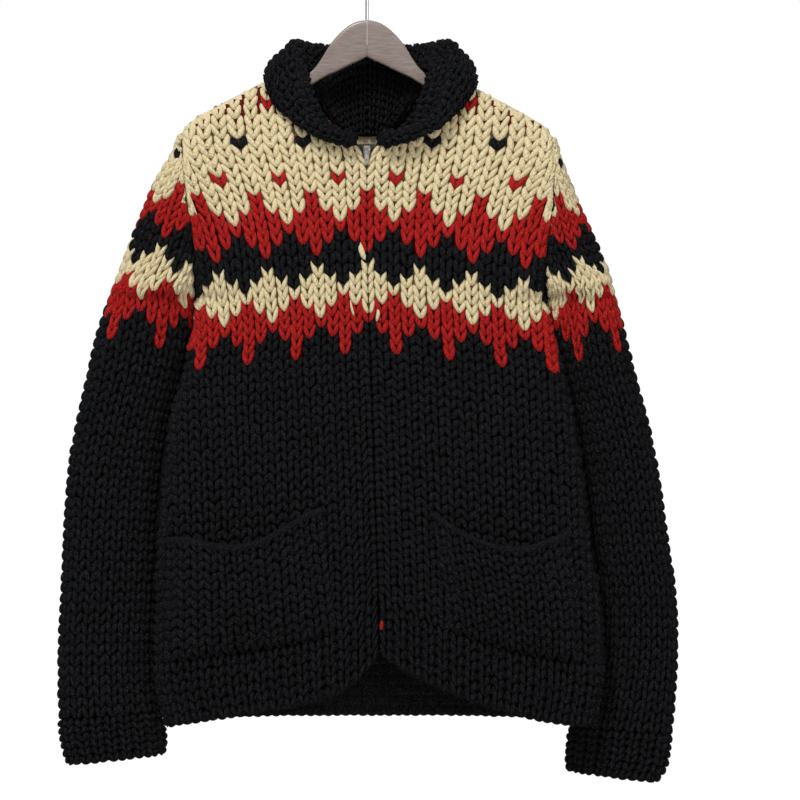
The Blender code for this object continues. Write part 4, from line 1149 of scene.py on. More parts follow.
def shell(name, patch, yarn_at, materials, step, relief=None, wall=SHELL_WALL, seamed=None, covered=()):
    """Cloth under the stitches, a closed wall, coloured by the same chart.

    It has every point of the patch's grid, or every `step`th across and down. The first half of
    the materials is for the face under the stitches, where darker copies of the yarns paint the
    shade between them, the rest for the inside. Past the column `seamed`, the cloth comes up to the
    surface at its edges, in the face yarns without painted shade. It is black
    within the closed lines in `covered`, at the collar's seam.
    """
    edge_rise = 0.85
    u = patch.u[::step[0]]
    v = patch.v[::step[1]]
    surface, normals, beyond = (grid[::step[1], ::step[0]] for grid in
                                (patch.points, patch.normals, patch.beyond))
    height = np.full(beyond.shape, SHELL_HEIGHT)
    if relief is not None:
        height = height + relief(u)[None, :]
    if seamed is not None:
        height = height * (1 - edge_rise * smooth(1 + beyond) * (np.abs(u) > seamed)[None, :])
    points = surface + normals * height[..., None]
    corners = flat_faces(len(v), len(u)).reshape(len(v) - 1, len(u) - 1, 4)
    least = beyond.ravel()[corners].min(axis=-1)
    keep = least < -1e-6
    middle_u, middle_v = np.meshgrid((u[:-1] + u[1:]) / 2, (v[:-1] + v[1:]) / 2)
    faces = facing(points.reshape(-1, 3), corners[keep], normals.reshape(-1, 3))
    yarns = np.array([yarn_at(a, b) for a, b in zip(middle_u[keep], middle_v[keep])])
    if seamed is not None:
        at_edge = (least[keep] > -1) & (np.abs(middle_u[keep]) > seamed)
        yarns = np.where(at_edge, len(SHADE_PAINTED_YARNS) + yarns % FLOAT, yarns)
    for outline in covered:
        yarns = np.where(inside(outline, surface[:-1, :-1][keep]), BLACK, yarns)
    flat = np.meshgrid(*(np.linspace(CLOTH_BORDER, 1 - CLOTH_BORDER, len(line)) for line in (u, v)))
    maps = [np.stack(pair, axis=-1).reshape(-1, 2) for pair in (flat, np.meshgrid(u, v))]
    obj = mesh_from(name, points.reshape(-1, 3), faces, yarns, materials, *maps)
    merge_points(obj.data)
    solidify = thicken(obj, wall, -1.0)
    solidify.material_offset = len(materials) // 2
    solidify.material_offset_rim = len(materials) // 2
    return obj


def merge_points(mesh):
    """Join the points that fall together, and delete those without a face."""
    shape = bmesh.new()
    shape.from_mesh(mesh)
    bmesh.ops.remove_doubles(shape, verts=shape.verts, dist=MERGE_DISTANCE * MM)
    bmesh.ops.dissolve_degenerate(shape, edges=shape.edges, dist=MERGE_DISTANCE * MM)
    loose = [vert for vert in shape.verts if not vert.link_faces]
    bmesh.ops.delete(shape, geom=loose, context="VERTS")
    shape.to_mesh(mesh)
    shape.free()


def stitch_places(patch, columns, rows, limit=0.2):
    """Column and row numbers of the stitches that lie on the cloth."""
    number, row = (grid.ravel().astype(float) for grid in np.meshgrid(columns, rows))
    keep = patch.read(patch.beyond, number, row - 0.5) < limit
    return number[keep], row[keep]


# ---------------------------------------------------------------------------------------------
# Materials
# ---------------------------------------------------------------------------------------------


def new_material(name, roughness, metallic=0.0):
    """Material with its node tree and shader."""
    material = bpy.data.materials.new(name)
    material.use_nodes = True
    tree = material.node_tree
    shader = tree.nodes["Principled BSDF"]
    shader.inputs["Roughness"].default_value = roughness
    shader.inputs["Metallic"].default_value = metallic
    return material, tree, shader


def node(tree, kind, **values):
    """Node with its settings and the values of its inputs."""
    made = tree.nodes.new(kind)
    for key, value in values.items():
        if hasattr(made, key):
            setattr(made, key, value)
        else:
            made.inputs[key.replace("_", " ")].default_value = value
    return made


def object_place(tree):
    """Place in the piece's own frame."""
    return node(tree, "ShaderNodeTexCoord").outputs["Object"]


def yarn_place(tree):
    """Place along and across the yarn on a stitch, and on the cloth in stitches and rows."""
    return node(tree, "ShaderNodeUVMap", uv_map="Yarn").outputs["UV"]


def ramp(tree, source, *stops):
    """Colour ramp over (position, colour) stops; a number instead of a colour is a grey."""
    made = tree.nodes.new("ShaderNodeValToRGB")
    elements = made.color_ramp.elements
    while len(elements) < len(stops):
        elements.new(0.5)
    for element, (place, color) in zip(elements, stops):
        element.position = place
        element.color = (*color, 1.0) if isinstance(color, tuple) else (color, color, color, 1.0)
    tree.links.new(source, made.inputs[0])
    return made.outputs[0]


def noise(tree, coordinates, scale, detail, rough):
    """Soft random texture from 0 to 1."""
    made = node(tree, "ShaderNodeTexNoise", Scale=scale, Detail=detail, Roughness=rough)
    tree.links.new(coordinates, made.inputs["Vector"])
    return made.outputs["Fac"]


def bands(tree, coordinates, direction, scale, distortion, **values):
    """Waves from 0 to 1 that follow each other in one direction."""
    made = node(tree, "ShaderNodeTexWave", wave_type="BANDS", bands_direction=direction,
                Scale=scale, Distortion=distortion, **values)
    tree.links.new(coordinates, made.inputs["Vector"])
    return made.outputs["Fac"]


def stretched(tree, coordinates, scale):
    """Coordinates scaled by three factors."""
    made = node(tree, "ShaderNodeMapping", Scale=scale)
    tree.links.new(coordinates, made.inputs["Vector"])
    return made.outputs["Vector"]


def math_node(tree, operation, first, second):
    """Sum or product of an output and another, or of an output and a number."""
    made = node(tree, "ShaderNodeMath", operation=operation)
    tree.links.new(first, made.inputs[0])
    if isinstance(second, float):
        made.inputs[1].default_value = second
    else:
        tree.links.new(second, made.inputs[1])
    return made.outputs[0]


def add_bump(tree, shader, distance, strength, *heights):
    """Bump from a sum of heights, each with its share."""
    scaled = [math_node(tree, "MULTIPLY", source, share) for source, share in heights]
    total = scaled[0]
    for other in scaled[1:]:
        total = math_node(tree, "ADD", total, other)
    bump = node(tree, "ShaderNodeBump", Strength=strength, Distance=distance)
    tree.links.new(total, bump.inputs["Height"])
    tree.links.new(bump.outputs["Normal"], shader.inputs["Normal"])


def mix_color(tree, share, first, second):
    """Mix of two colours, each a value or an output."""
    mix = node(tree, "ShaderNodeMix", data_type="RGBA")
    tree.links.new(share, mix.inputs[0])
    for socket, value in ((mix.inputs[6], first), (mix.inputs[7], second)):
        if isinstance(value, tuple):
            socket.default_value = (*value, 1.0)
        else:
            tree.links.new(value, socket)
    return mix.outputs[2]


def wool(name, dark, plain, light, sheen=0.0, shine=0.0, hair=None, purl=False, strands=None):
    """Thick soft-spun wool: fibres and twisted plies run along each leg, with a fuzzy surface.

    The wrong side has purl bumps, and where yarn is carried behind the rows, strands across them. The grooves
    between the plies and the low spots of the fuzz are darkened towards the dark tone: painted shade.
    """
    material, tree, shader = new_material(name, 0.92)
    shader.inputs["Sheen Weight"].default_value = sheen
    shader.inputs["Sheen Roughness"].default_value = 0.45
    shader.inputs["Specular IOR Level"].default_value = shine
    place = object_place(tree)
    yarn = yarn_place(tree)
    streaks = noise(tree, stretched(tree, yarn, (22.0, 2.4, 1.0)), 1.0, 3.0, 0.65)
    tones = noise(tree, stretched(tree, yarn, (0.35, 0.35, 1.0)), 1.0, 1.0, 0.5)
    fuzz = noise(tree, place, 620.0, 4.0, 0.75)
    grain = noise(tree, place, 1150.0, 2.0, 0.8)
    twist = stretched(tree, yarn, (2.2, 1.5, 1.0))
    plies = bands(tree, twist, "DIAGONAL", 1.0, 2.2, Detail=2.0, Detail_Scale=1.6)
    color = ramp(tree, streaks, (0.30, dark), (0.50, plain), (0.72, light))
    # Painted shade: the colour darkens towards the dark tone in the grooves between the plies and at the low
    # spots of the fuzz, where the bump sinks.
    color = mix_color(tree, ramp(tree, plies, (0.02, 0.42), (0.30, 0.0)), color, dark)
    color = mix_color(tree, ramp(tree, fuzz, (0.36, 0.85), (0.52, 0.0)), color, dark)
    color = mix_color(tree, ramp(tree, tones, (0.3, 0.0), (0.7, 0.4)), color, plain)
    if hair is not None:
        color = mix_color(tree, ramp(tree, grain, (0.54, 0.0), (0.66, 1.0)), color, hair)
    if strands is not None:
        carried = bands(tree, yarn, "Y", TWO_A_STITCH, 0.5, Phase_Offset=1.6)
        color = mix_color(tree, ramp(tree, carried, (0.55, 0.0), (0.68, 1.0)), color, strands)
    tree.links.new(color, shader.inputs["Base Color"])
    if purl:
        across, down = (bands(tree, yarn, axis, TWO_A_STITCH, 0.4) for axis in "XY")
        bars = math_node(tree, "MULTIPLY", across, down)
        add_bump(tree, shader, 0.0008, 0.8, (bars, 4.0), (fuzz, 0.8))
    else:
        add_bump(tree, shader, 0.0008, 0.8, (streaks, 0.9), (fuzz, 1.6), (plies, 0.8))
    return material


# Scale of bands that have two waves for each stitch or row.
TWO_A_STITCH = 0.628

# Each yarn's dark, plain and light tones, its sheen and shine, and the tone of its hairs. The dark tone also
# serves as painted shade in the grooves between the plies and in the fuzz.
WOOLS = {
    "cream": ((0.50, 0.39, 0.20), (0.74, 0.625, 0.375), (0.84, 0.745, 0.50),
              0.08, 0.12, (0.88, 0.80, 0.57)),
    "red": ((0.17, 0.001, 0.002), (0.40, 0.0045, 0.0055), (0.55, 0.014, 0.010),
            0.03, 0.10, (0.60, 0.07, 0.05)),
    "black": ((0.0003, 0.0003, 0.0004), (0.0034, 0.0036, 0.0042), (0.0225, 0.023, 0.0255),
              0.0, 0.05, (0.048, 0.049, 0.053)),
}
# The three tones of the cloth deep between the stitches, and where red is carried behind it: darker copies of
# the yarns, painted shade where little light falls.
SHADE_PAINTED_WOOLS = {
    "cream": ((0.03, 0.016, 0.007), (0.14, 0.085, 0.036), (0.24, 0.16, 0.08)),
    "red": ((0.010, 0.0, 0.0), (0.045, 0.001, 0.001), (0.08, 0.003, 0.002)),
    "black": ((0.0003,) * 3, (0.0010,) * 3, (0.0025,) * 3),
    "floats": ((0.02, 0.003, 0.002), (0.12, 0.012, 0.007), (0.18, 0.03, 0.02)),
}


def wools():
    """The yarns: on the face, in darker copies that paint the shade between the stitches, and on the wrong
    side.
    """
    face = [wool("wool_" + name, *tones) for name, tones in WOOLS.items()]
    wrong = [wool("purl_" + name, *tones, purl=True) for name, tones in WOOLS.items()]
    wrong.append(wool("purl_floats", *WOOLS["cream"], purl=True, strands=WOOLS["red"][1]))
    # Darker copies of the yarns: painted shade for the cloth seen between the stitches.
    deep = [wool("shade_painted_" + name, *tones) for name, tones in SHADE_PAINTED_WOOLS.items()]
    return face, deep, wrong


def uneven_color(tree, shader, coordinates, noise_values, *stops):
    """Base colour that wanders between the stops' colours."""
    color = ramp(tree, noise(tree, coordinates, *noise_values), *stops)
    tree.links.new(color, shader.inputs["Base Color"])


def wood_material():
    """Taupe stained wood with fine grain that sparkles a little under a satin coat."""
    material, tree, shader = new_material("stained_wood", 0.38)
    shader.inputs["Coat Weight"].default_value = 0.25
    shader.inputs["Coat Roughness"].default_value = 0.25
    place = object_place(tree)
    grain = noise(tree, stretched(tree, place, (60.0, 900.0, 900.0)), 1.0, 5.0, 0.65)
    pores = noise(tree, stretched(tree, place, (500.0, 2200.0, 2200.0)), 1.0, 2.0, 0.5)
    stain = noise(tree, place, 35.0, 2.0, 0.5)
    color = ramp(tree, grain, (0.3, (0.15, 0.108, 0.092)), (0.5, (0.225, 0.172, 0.152)),
                 (0.72, (0.30, 0.24, 0.215)))
    color = mix_color(tree, ramp(tree, stain, (0.35, 0.0), (0.75, 0.35)), color, (0.13, 0.096, 0.083))
    color = mix_color(tree, ramp(tree, pores, (0.66, 0.0), (0.74, 0.55)), color, (0.46, 0.40, 0.36))
    tree.links.new(color, shader.inputs["Base Color"])
    add_bump(tree, shader, 0.0002, 0.5, (grain, 1.0), (pores, 0.5))
    return material


def metal_material(name, dark, light, roughness, scale):
    """Bare metal with fine scratches and a little tarnish."""
    material, tree, shader = new_material(name, roughness, 1.0)
    place = object_place(tree)
    scratches = noise(tree, stretched(tree, place, (scale, scale, scale * 0.15)), 1.0, 4.0, 0.6)
    uneven_color(tree, shader, place, (240.0, 2.0, 0.5), (0.35, dark), (0.65, light))
    rough = ramp(tree, scratches, (0.3, roughness * 0.8), (0.75, roughness * 1.5))
    tree.links.new(rough, shader.inputs["Roughness"])
    add_bump(tree, shader, 0.00004, 0.35, (scratches, 1.0))
    return material


def woven_material(name, dark, light, threads):
    """Narrow woven band: crossing threads, coloured a little unevenly."""
    material, tree, shader = new_material(name, 0.75)
    shader.inputs["Sheen Weight"].default_value = 0.15
    place = object_place(tree)
    uneven_color(tree, shader, place, (500.0, 3.0, 0.6), (0.3, dark), (0.7, light))
    crossing = [(bands(tree, place, axis, threads, 0.6), 1.0) for axis in "XZ"]
    add_bump(tree, shader, 0.00015, 0.6, *crossing)
    return material


def plain_stage(name, color, roughness):
    """Almost even pale surface round the part."""
    material, tree, shader = new_material(name, roughness)
    paler = tuple(min(1.0, channel * 1.02) for channel in color)
    uneven_color(tree, shader, object_place(tree), (3.0, 2.0, 0.5), (0.3, color), (0.7, paler))
    return material


# ---------------------------------------------------------------------------------------------
# Pieces
# ---------------------------------------------------------------------------------------------

YARNS, SHADE_PAINTED_YARNS, PURL_YARNS = wools()
# The cloth's face takes the painted-shade copies of the yarns, with the face yarns at seamed edges, and its
# inside the purl yarns; plain black cloth is painted-shade black outside.
CHARTED = SHADE_PAINTED_YARNS + YARNS + PURL_YARNS + PURL_YARNS[:FLOAT]
ALL_BLACK = [SHADE_PAINTED_YARNS[BLACK], PURL_YARNS[BLACK]]


def settle(obj, *nodes, slot_name):
    """Let a piece ride with the cardigan and stand for its solids."""
    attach(obj, BODY)
    if nodes:
        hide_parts(*nodes)


def knit_up(name, cloth, knit, yarns, slot_name):
    """Mesh of a piece's stitches, settled with its cloth, which stands for the solid."""
    stitches = knit.make(name + "_stitches", yarns)
    settle(cloth, name, slot_name=slot_name)
    settle(stitches, slot_name=slot_name)
    return stitches


def rib_relief(u):
    """Ridge of each rib at half numbers, gutter between ribs."""
    return -RIB_GUTTER * (1 + np.cos(2 * math.pi * u)) / 2


def only_black(_u, _v):
    """The one yarn of a plain piece, whatever the stitch."""
    return 0


def cloth_yarn(u, v):
    """Yarn seen deep between the stitches: red floats lie behind the top of the yoke."""
    row = int(math.ceil(v))
    yarn = chart(row, int(round(u)), {})
    return FLOAT if yarn == CREAM and row in FLOAT_ROWS else yarn


def chart_stitches(knit, patch, number, row, lift=0.0, legs=(-1, 1), flecks=YOKE_FLECKS):
    """Stitches in the chart's yarns, narrower where the shoulders pull the rows apart."""
    yarns = np.array([chart(int(r), int(n), flecks) for n, r in zip(number, row)])
    width = np.where(row < LOOSE_ROW, LOOSE_WIDTH, 1.0)[:, None, None]
    for chosen, table in ((yarns == BLACK, FULL_LEG), (yarns != BLACK, LEG)):
        if chosen.any():
            places = number[chosen], row[chosen], yarns[chosen], width[chosen]
            knit.stitches(patch, *places, lift, legs, table)


def under_collar(side, face, share=0.8):
    """Closed line round the part of a front, or of the back, that the collar lies over.

    `share` is how far the line goes from the neck seam to the collar's free edge.
    """
    past_seam = 0.3
    angles = np.linspace(COLLAR[0, 0], 90, 30) if face == FRONT else np.linspace(90, 180, 30)
    stations = [collar_station(side * angle) for angle in angles]
    inner = [base + (base - edge) * past_seam for base, _, edge in stations]
    outer = [base + (edge - base) * share for base, _, edge in stations]
    return np.array(inner + outer[::-1])[:, [0, 2]]


def hidden_by(outline, patch, number, row, over=0.0, down=-0.5):
    """Which stitches have a point, by default their middle, within a closed line."""
    return inside(outline, patch.at(number + over, row + down, np.zeros(len(row))))


# Past this column, a panel's edge is a seam that shows.
SIDE_SEAM_COLUMN = 7
# The share of the way to the collar's free edge where the cloth is black, in front and behind.
FRONT_SEAM_SHARE = 0.3
BACK_SEAM_SHARE = 0.1
# The legs that border the zip: their column and how deep they lie.
BORDER_COLUMN = 0.03
BORDER_LIFT = -0.4
# Loose ends that show at the zip: side, column, row, yarn and width; and one at the hem.
LOOSE_ENDS = ((LEFT, 0.1, 5.7, CREAM, 1.2), (LEFT, 1.2, 11.15, CREAM, 0.6),
              (RIGHT, 0.5, 11.75, CREAM, 0.8))
LOOSE_LIFT = 1.6
HEM_END = {"u": 0.1, "v": 3.5, "yarn": 1, "width": 0.6, "lift": 2.0}
# The corners of a stitch, from its place: across and down.
STITCH_CORNERS = ((-0.45, 0.2), (0.45, 0.2), (-0.45, -0.8), (0.45, -0.8))
# Rib and collar stitches: widths and lifts. An edge's roll lies in from the face and the end.
RIB_WIDTH = 0.84
RIB_LIFT = 0.8
RIB_EDGE_IN = (2.9, 2.2)
COLLAR_WIDTH = 0.82
COLLAR_BUMP_LIFT = 1.6
COLLAR_RELIEF = 0.6
# A pocket's mouth: the radius of its roll, which lies in from the face and the end too.
MOUTH_RADIUS = 4.4
MOUTH_EDGE_IN = (1.8, 1.2)


def knit_front(side):
    """One front, without the stitches that its pocket and the collar hide."""
    patch = panel_patch(FRONT, side)
    name = "front_" + side_name(side)
    seam = [under_collar(side, FRONT, FRONT_SEAM_SHARE)]
    cloth = shell(name + "_cloth", patch, cloth_yarn, CHARTED, (2, 2), seamed=SIDE_SEAM_COLUMN, covered=seam)
    knit = Knitting()
    rows = np.arange(FIRST_ROW + 1, SEAM_ROW + 1)
    number, row = stitch_places(patch, np.arange(1, PANEL_STITCHES), rows)
    pocket = outline_of(pocket_patch(POCKETS[0 if side == LEFT else 1])[0])
    hidden = row < SEAM_ROW - 1
    for over, down in STITCH_CORNERS:
        hidden &= hidden_by(pocket, patch, number, row, over, down)
    hidden |= hidden_by(under_collar(side, FRONT), patch, number, row)
    chart_stitches(knit, patch, number[~hidden], row[~hidden])
    number, row = stitch_places(patch, np.array([BORDER_COLUMN]), rows)
    chart_stitches(knit, patch, number, row, BORDER_LIFT, (1,))
    for end_side, *end in LOOSE_ENDS:
        if end_side == side:
            knit.loose_end(patch, *end, LOOSE_LIFT)
    stitches = knit_up(name, cloth, knit, YARNS, "body_wool")


def knit_back():
    """The back in one piece, without the stitches that the collar hides."""
    patch = whole_back(panel_patch(BACK, LEFT), panel_patch(BACK, RIGHT))
    seam = [under_collar(side, BACK, BACK_SEAM_SHARE) for side in (LEFT, RIGHT)]
    cloth = shell("back_cloth", patch, cloth_yarn, CHARTED, (2, 2), seamed=SIDE_SEAM_COLUMN, covered=seam)
    knit = Knitting()
    columns = np.arange(1 - PANEL_STITCHES, PANEL_STITCHES)
    number, row = stitch_places(patch, columns, np.arange(FIRST_ROW + 1, SEAM_ROW + 1))
    hidden = hidden_by(under_collar(LEFT, BACK), patch, number, row)
    hidden |= hidden_by(under_collar(RIGHT, BACK), patch, number, row)
    chart_stitches(knit, patch, number[~hidden], row[~hidden])
    stitches = knit_up("back", cloth, knit, YARNS, "body_wool")


def knit_sleeve(side):
    """One sleeve, from its head to the cuff."""
    patch = sleeve_patch(side)
    name = "sleeve_" + side_name(side)
    cloth = shell(name + "_cloth", patch, cloth_yarn, CHARTED, (2, 1), seamed=0)
    knit = Knitting()
    half = SLEEVE_STITCHES // 2
    rows = np.arange(SLEEVE_FIRST_ROW + 1, SLEEVE_SEAM_ROW + 1)
    number, row = stitch_places(patch, np.arange(-half + 1, half + 1), rows)
    chart_stitches(knit, patch, number, row, flecks=SLEEVE_FLECKS)
    stitches = knit_up(name, cloth, knit, YARNS, "body_wool")


def rib_stitches(knit, patch, ribs, gutters):
    """Raised stitches on the ribs and low bumps in the gutters between them."""
    rows = np.arange(1, RIB_ROWS + 1)
    knit.stitches(patch, *stitch_places(patch, ribs, rows), 0, RIB_WIDTH, RIB_LIFT)
    knit.bumps(patch, *stitch_places(patch, gutters, rows))


def rib_piece(name, patch, count, start, round_band=False):
    """Ribs of one band, with its cast-off edge at the foot; it overlaps the cloth above a little."""
    cloth = shell(name + "_cloth", patch.below(-0.5), only_black, ALL_BLACK, (1, 1), rib_relief)
    knit = Knitting()
    first_gutter = 0 if round_band else 1
    rib_stitches(knit, patch, start + 0.5 + np.arange(count), start + np.arange(first_gutter, count))
    shown = np.ones(len(patch.u), bool)
    if round_band:
        shown = (patch.u >= start - 1e-6) & (patch.u <= start + count + 1e-6)
    down = unit(patch.points[-1] - patch.points[-3])[shown]
    normal = patch.normals[-1][shown]
    line = patch.points[-1][shown] - normal * RIB_EDGE_IN[0] - down * RIB_EDGE_IN[1]
    knit.edge(line, down, normal)
    return cloth, knit


def knit_hems():
    """Ribs at the foot; the back's inner face shows below the fronts' arch."""
    for side in (LEFT, RIGHT):
        patch, count = hem_patch(FRONT, side)
        name = "hem_front_" + side_name(side)
        cloth, knit = rib_piece(name, patch, count, 0)
        if side == RIGHT:
            knit.loose_end(patch, **HEM_END)
        stitches = knit_up(name, cloth, knit, [YARNS[BLACK], YARNS[RED]], "rib_wool")
    (left, left_count), (right, right_count) = hem_patch(BACK, LEFT), hem_patch(BACK, RIGHT)
    patch = whole_back(left, right)
    cloth, knit = rib_piece("hem_back", patch, left_count + right_count, -left_count)
    ribs = np.arange(-left_count + 1, right_count).astype(float)
    rib_stitches(knit, patch.turned(KNIT_WALL + 1.0), ribs, ribs[:-1] + 0.5)
    stitches = knit_up("hem_back", cloth, knit, [YARNS[BLACK]], "rib_wool")


def knit_cuffs():
    """Ribs round the wrists."""
    for side in (LEFT, RIGHT):
        patch, count = cuff_patch(side)
        name = "cuff_" + side_name(side)
        cloth, knit = rib_piece(name, patch, count, -count / 2, True)
        stitches = knit_up(name, cloth, knit, [YARNS[BLACK]], "rib_wool")


def knit_pockets():
    """Black pockets, each with a soft rolled mouth."""
    for pocket in POCKETS:
        patch, count = pocket_patch(pocket)
        side = int(pocket[0])
        name = "pocket_" + side_name(side)
        cloth = shell(name + "_cloth", patch, only_black, ALL_BLACK, (2, 2))
        knit = Knitting()
        places = stitch_places(patch, 0.5 + np.arange(count), np.arange(1, POCKET_ROWS + 1))
        knit.stitches(patch, *places, 0)
        up = unit(patch.points[0] - patch.points[2])
        line = patch.points[0] - patch.normals[0] * MOUTH_EDGE_IN[0] - up * MOUTH_EDGE_IN[1]
        knit.edge(line, up, patch.normals[0], MOUTH_RADIUS, linked=False)
        stitches = knit_up(name, cloth, knit, [YARNS[BLACK]], "rib_wool")


def knit_collar():
    """Ribbed collar, with a cast-off edge along its free sides."""
    patch = collar_patch()
    cloth = shell("collar_cloth", patch, only_black, ALL_BLACK, (1, 1),
                  lambda u: rib_relief(u) * COLLAR_RELIEF, COLLAR_SHELL_WALL)
    knit = Knitting()
    rows = np.arange(1, COLLAR_ROWS + 1)
    ribs = stitch_places(patch, 0.5 + np.arange(-COLLAR_RIBS, COLLAR_RIBS), rows, 0.85)
    knit.stitches(patch, *ribs, 0, COLLAR_WIDTH)
    gutters = stitch_places(patch, np.arange(-COLLAR_RIBS + 1, COLLAR_RIBS), rows)
    knit.bumps(patch, *gutters, COLLAR_BUMP_LIFT)
    outward = unit(patch.points[0] - patch.points[1])
    line = patch.points[0] - patch.normals[0] * COLLAR_WALL / 2
    knit.edge(line, outward, patch.normals[0])
    for end, inner in ((0, 2), (-1, -3)):
        shown = patch.beyond[:, end] < 0
        outward = unit(patch.points[shown, end] - patch.points[shown, inner])
        normal = patch.normals[shown, end]
        knit.edge(patch.points[shown, end] - normal * COLLAR_WALL / 2 - outward, outward, normal)
    stitches = knit_up("collar", cloth, knit, [YARNS[BLACK]], "rib_wool")


def zip_line(down, offset_x, depth):
    """Points behind the front edges: offset_x to the right of the zip's line, depth behind them."""
    x = torso("centre", down)
    gap = column(OPENING, OPENING_COLUMNS, "half_gap", down)

    def front_y(side):
        reach = side * (torso(side_name(side), down) - x) - gap
        part = np.clip((side * offset_x - gap) / reach, 0, 1)
        return torso_point(FRONT, side, part, down)[..., 1]

    if offset_x == 0:
        y = (front_y(LEFT) + front_y(RIGHT)) / 2
    else:
        y = front_y(RIGHT if offset_x > 0 else LEFT)
    return np.stack([x + offset_x, y + depth, -down], axis=-1)


def woven_band(name, grid, flipped, material, wall, offset):
    """Thin woven wall on a grid of points."""
    faces = flat_faces(*grid.shape[:2])
    if flipped:
        faces = faces[:, ::-1]
    band = mesh_from(name, grid.reshape(-1, 3), faces, 0, [material])
    thicken(band, wall, offset)
    return band


def zip_pieces():
    """Tapes, chain, and worn metal on the slider and the pull tab of the part."""
    weave = woven_material("zip_tape_weave", (0.010, 0.010, 0.011), (0.022, 0.022, 0.024), 1300)
    down = np.linspace(ZIP_TOP, ZIP_FOOT, 110)
    for side in (LEFT, RIGHT):
        offsets = side * (CHAIN_WIDTH / 2 + SEAM_GAP + np.linspace(0, TAPE_WIDTH, 6))
        grid = np.stack([zip_line(down, offset, ZIP_BEHIND) for offset in offsets], axis=1)
        name = "zip_tape_" + side_name(side)
        tape = woven_band(name + "_weave", grid, side == LEFT, weave, TAPE_WALL, -1.0)
        settle(tape, name, slot_name="zip_tape")
    metal = metal_material("zip_metal_worn", (0.30, 0.29, 0.26), (0.66, 0.63, 0.57), 0.30, 2500)
    for name in ("zip_slider", "zip_pull_tab"):
        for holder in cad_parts[name].material_slots:
            holder.link = "OBJECT"
            holder.material = metal
    teeth()


def teeth():
    """Closed chain: teeth from either tape take turns on the zip's line."""
    dull = metal_material("zip_metal_dull", (0.035, 0.034, 0.032), (0.10, 0.095, 0.09), 0.45, 2500)
    corners = np.array([(x, y, z) for x in (-1, 1) for y in (-1, 1) for z in (-1, 1)], dtype=float)
    box = np.array([(0, 1, 3, 2), (4, 6, 7, 5), (0, 4, 5, 1), (2, 3, 7, 6), (0, 2, 6, 4), (1, 5, 7, 3)])
    levels = np.arange(TEETH_TOP, TEETH_FOOT, TOOTH_PITCH)
    centres = zip_line(levels, 0, TEETH_BEHIND)
    sides = np.where(np.arange(len(levels)) % 2 == 0, LEFT, RIGHT)
    centres[:, 0] += sides * TOOTH_REACH
    points = centres[:, None, :] + corners[None] * np.array(TOOTH_HALF_SIZE)
    points[:, :, 2] += TOOTH_TILT * corners[None, :, 0] * sides[:, None]
    faces = (box[None] + 8 * np.arange(len(levels))[:, None, None]).reshape(-1, 4)
    chain = mesh_from("zip_teeth", points.reshape(-1, 3), faces, 0, [dull])
    bevel = chain.modifiers.new("worn_edges", "BEVEL")
    bevel.width = TOOTH_WEAR * MM
    bevel.segments = 1
    settle(chain, "zip_chain", slot_name="zip_metal")


def label():
    """Bare woven label inside the back's neck."""
    weave = woven_material("label_weave", (0.50, 0.42, 0.27), (0.72, 0.63, 0.44), 1700)
    across = np.linspace(-1, 1, 33)
    down = np.linspace(LABEL_TOP, LABEL_FOOT, 9)[:, None]
    part = np.abs(across) * LABEL_WIDTH / 2 / SHOULDER_HALF_WIDTH
    grid = np.zeros((len(down), len(across), 3))
    for side in (LEFT, RIGHT):
        chosen = across * side >= 0
        grid[:, chosen] = torso_point(BACK, side, part[None, chosen], down)
    grid[..., 1] -= LABEL_BEHIND
    tag = woven_band("label_weave", grid, True, weave, LABEL_WALL, 0.0)
    settle(tag, "neck_label", slot_name="label")


def wood_levels(side, out):
    """Top and foot of the wood at one distance from the middle."""
    if out <= WOOD_YOKE[-1, 0]:
        return [float(column(WOOD_YOKE, WOOD_COLUMNS, name, out)) for name in ("top", "foot")]
    top = float(shoulder_down(side, out)) + KNIT_WALL + WOOD_CLEARANCE
    return top, top + WOOD_ARM_HEIGHT


def hanger_arm(side, wood):
    """One wooden arm, planed to a rounded section that shrinks at its end."""
    turns = np.radians(np.arange(0, 360, 12))
    round_y, round_z = (np.sign(wave) * np.abs(wave) ** power for wave, power in
                        ((np.cos(turns), 0.42), (np.sin(turns), 0.30)))
    sections = [(out, 1) for out in (*np.linspace(0.15, 66, 34), *np.linspace(70, HANGER_END - 6, 34))]
    sections += [(HANGER_END - short, shrink) for short, shrink in WOOD_END]
    rings = []
    for out, shrink in sections:
        top, foot = wood_levels(side, out)
        y = float(hanger_y(out)) + round_y * WOOD_THICKNESS / 2 * shrink
        z = -(top + foot) / 2 + round_z * (foot - top) / 2 * shrink
        rings.append(np.stack([np.full_like(y, side * out), y, z], axis=-1))
    index = np.arange(len(rings) * len(turns)).reshape(len(rings), len(turns))
    faces = grid_faces(np.concatenate([index, index[:, :1]], axis=1)).reshape(-1, 4)
    name = "hanger_arm_" + side_name(side)
    arm = mesh_from(name + "_wood", np.concatenate(rings), faces, 0, [wood])
    shape = bmesh.new()
    shape.from_mesh(arm.data)
    bmesh.ops.holes_fill(shape, edges=[edge for edge in shape.edges if edge.is_boundary])
    bmesh.ops.recalc_face_normals(shape, faces=shape.faces)
    shape.to_mesh(arm.data)
    shape.free()
    arm.data.set_sharp_from_angle(angle=math.radians(50))
    settle(arm, name, slot_name="hanger_wood")


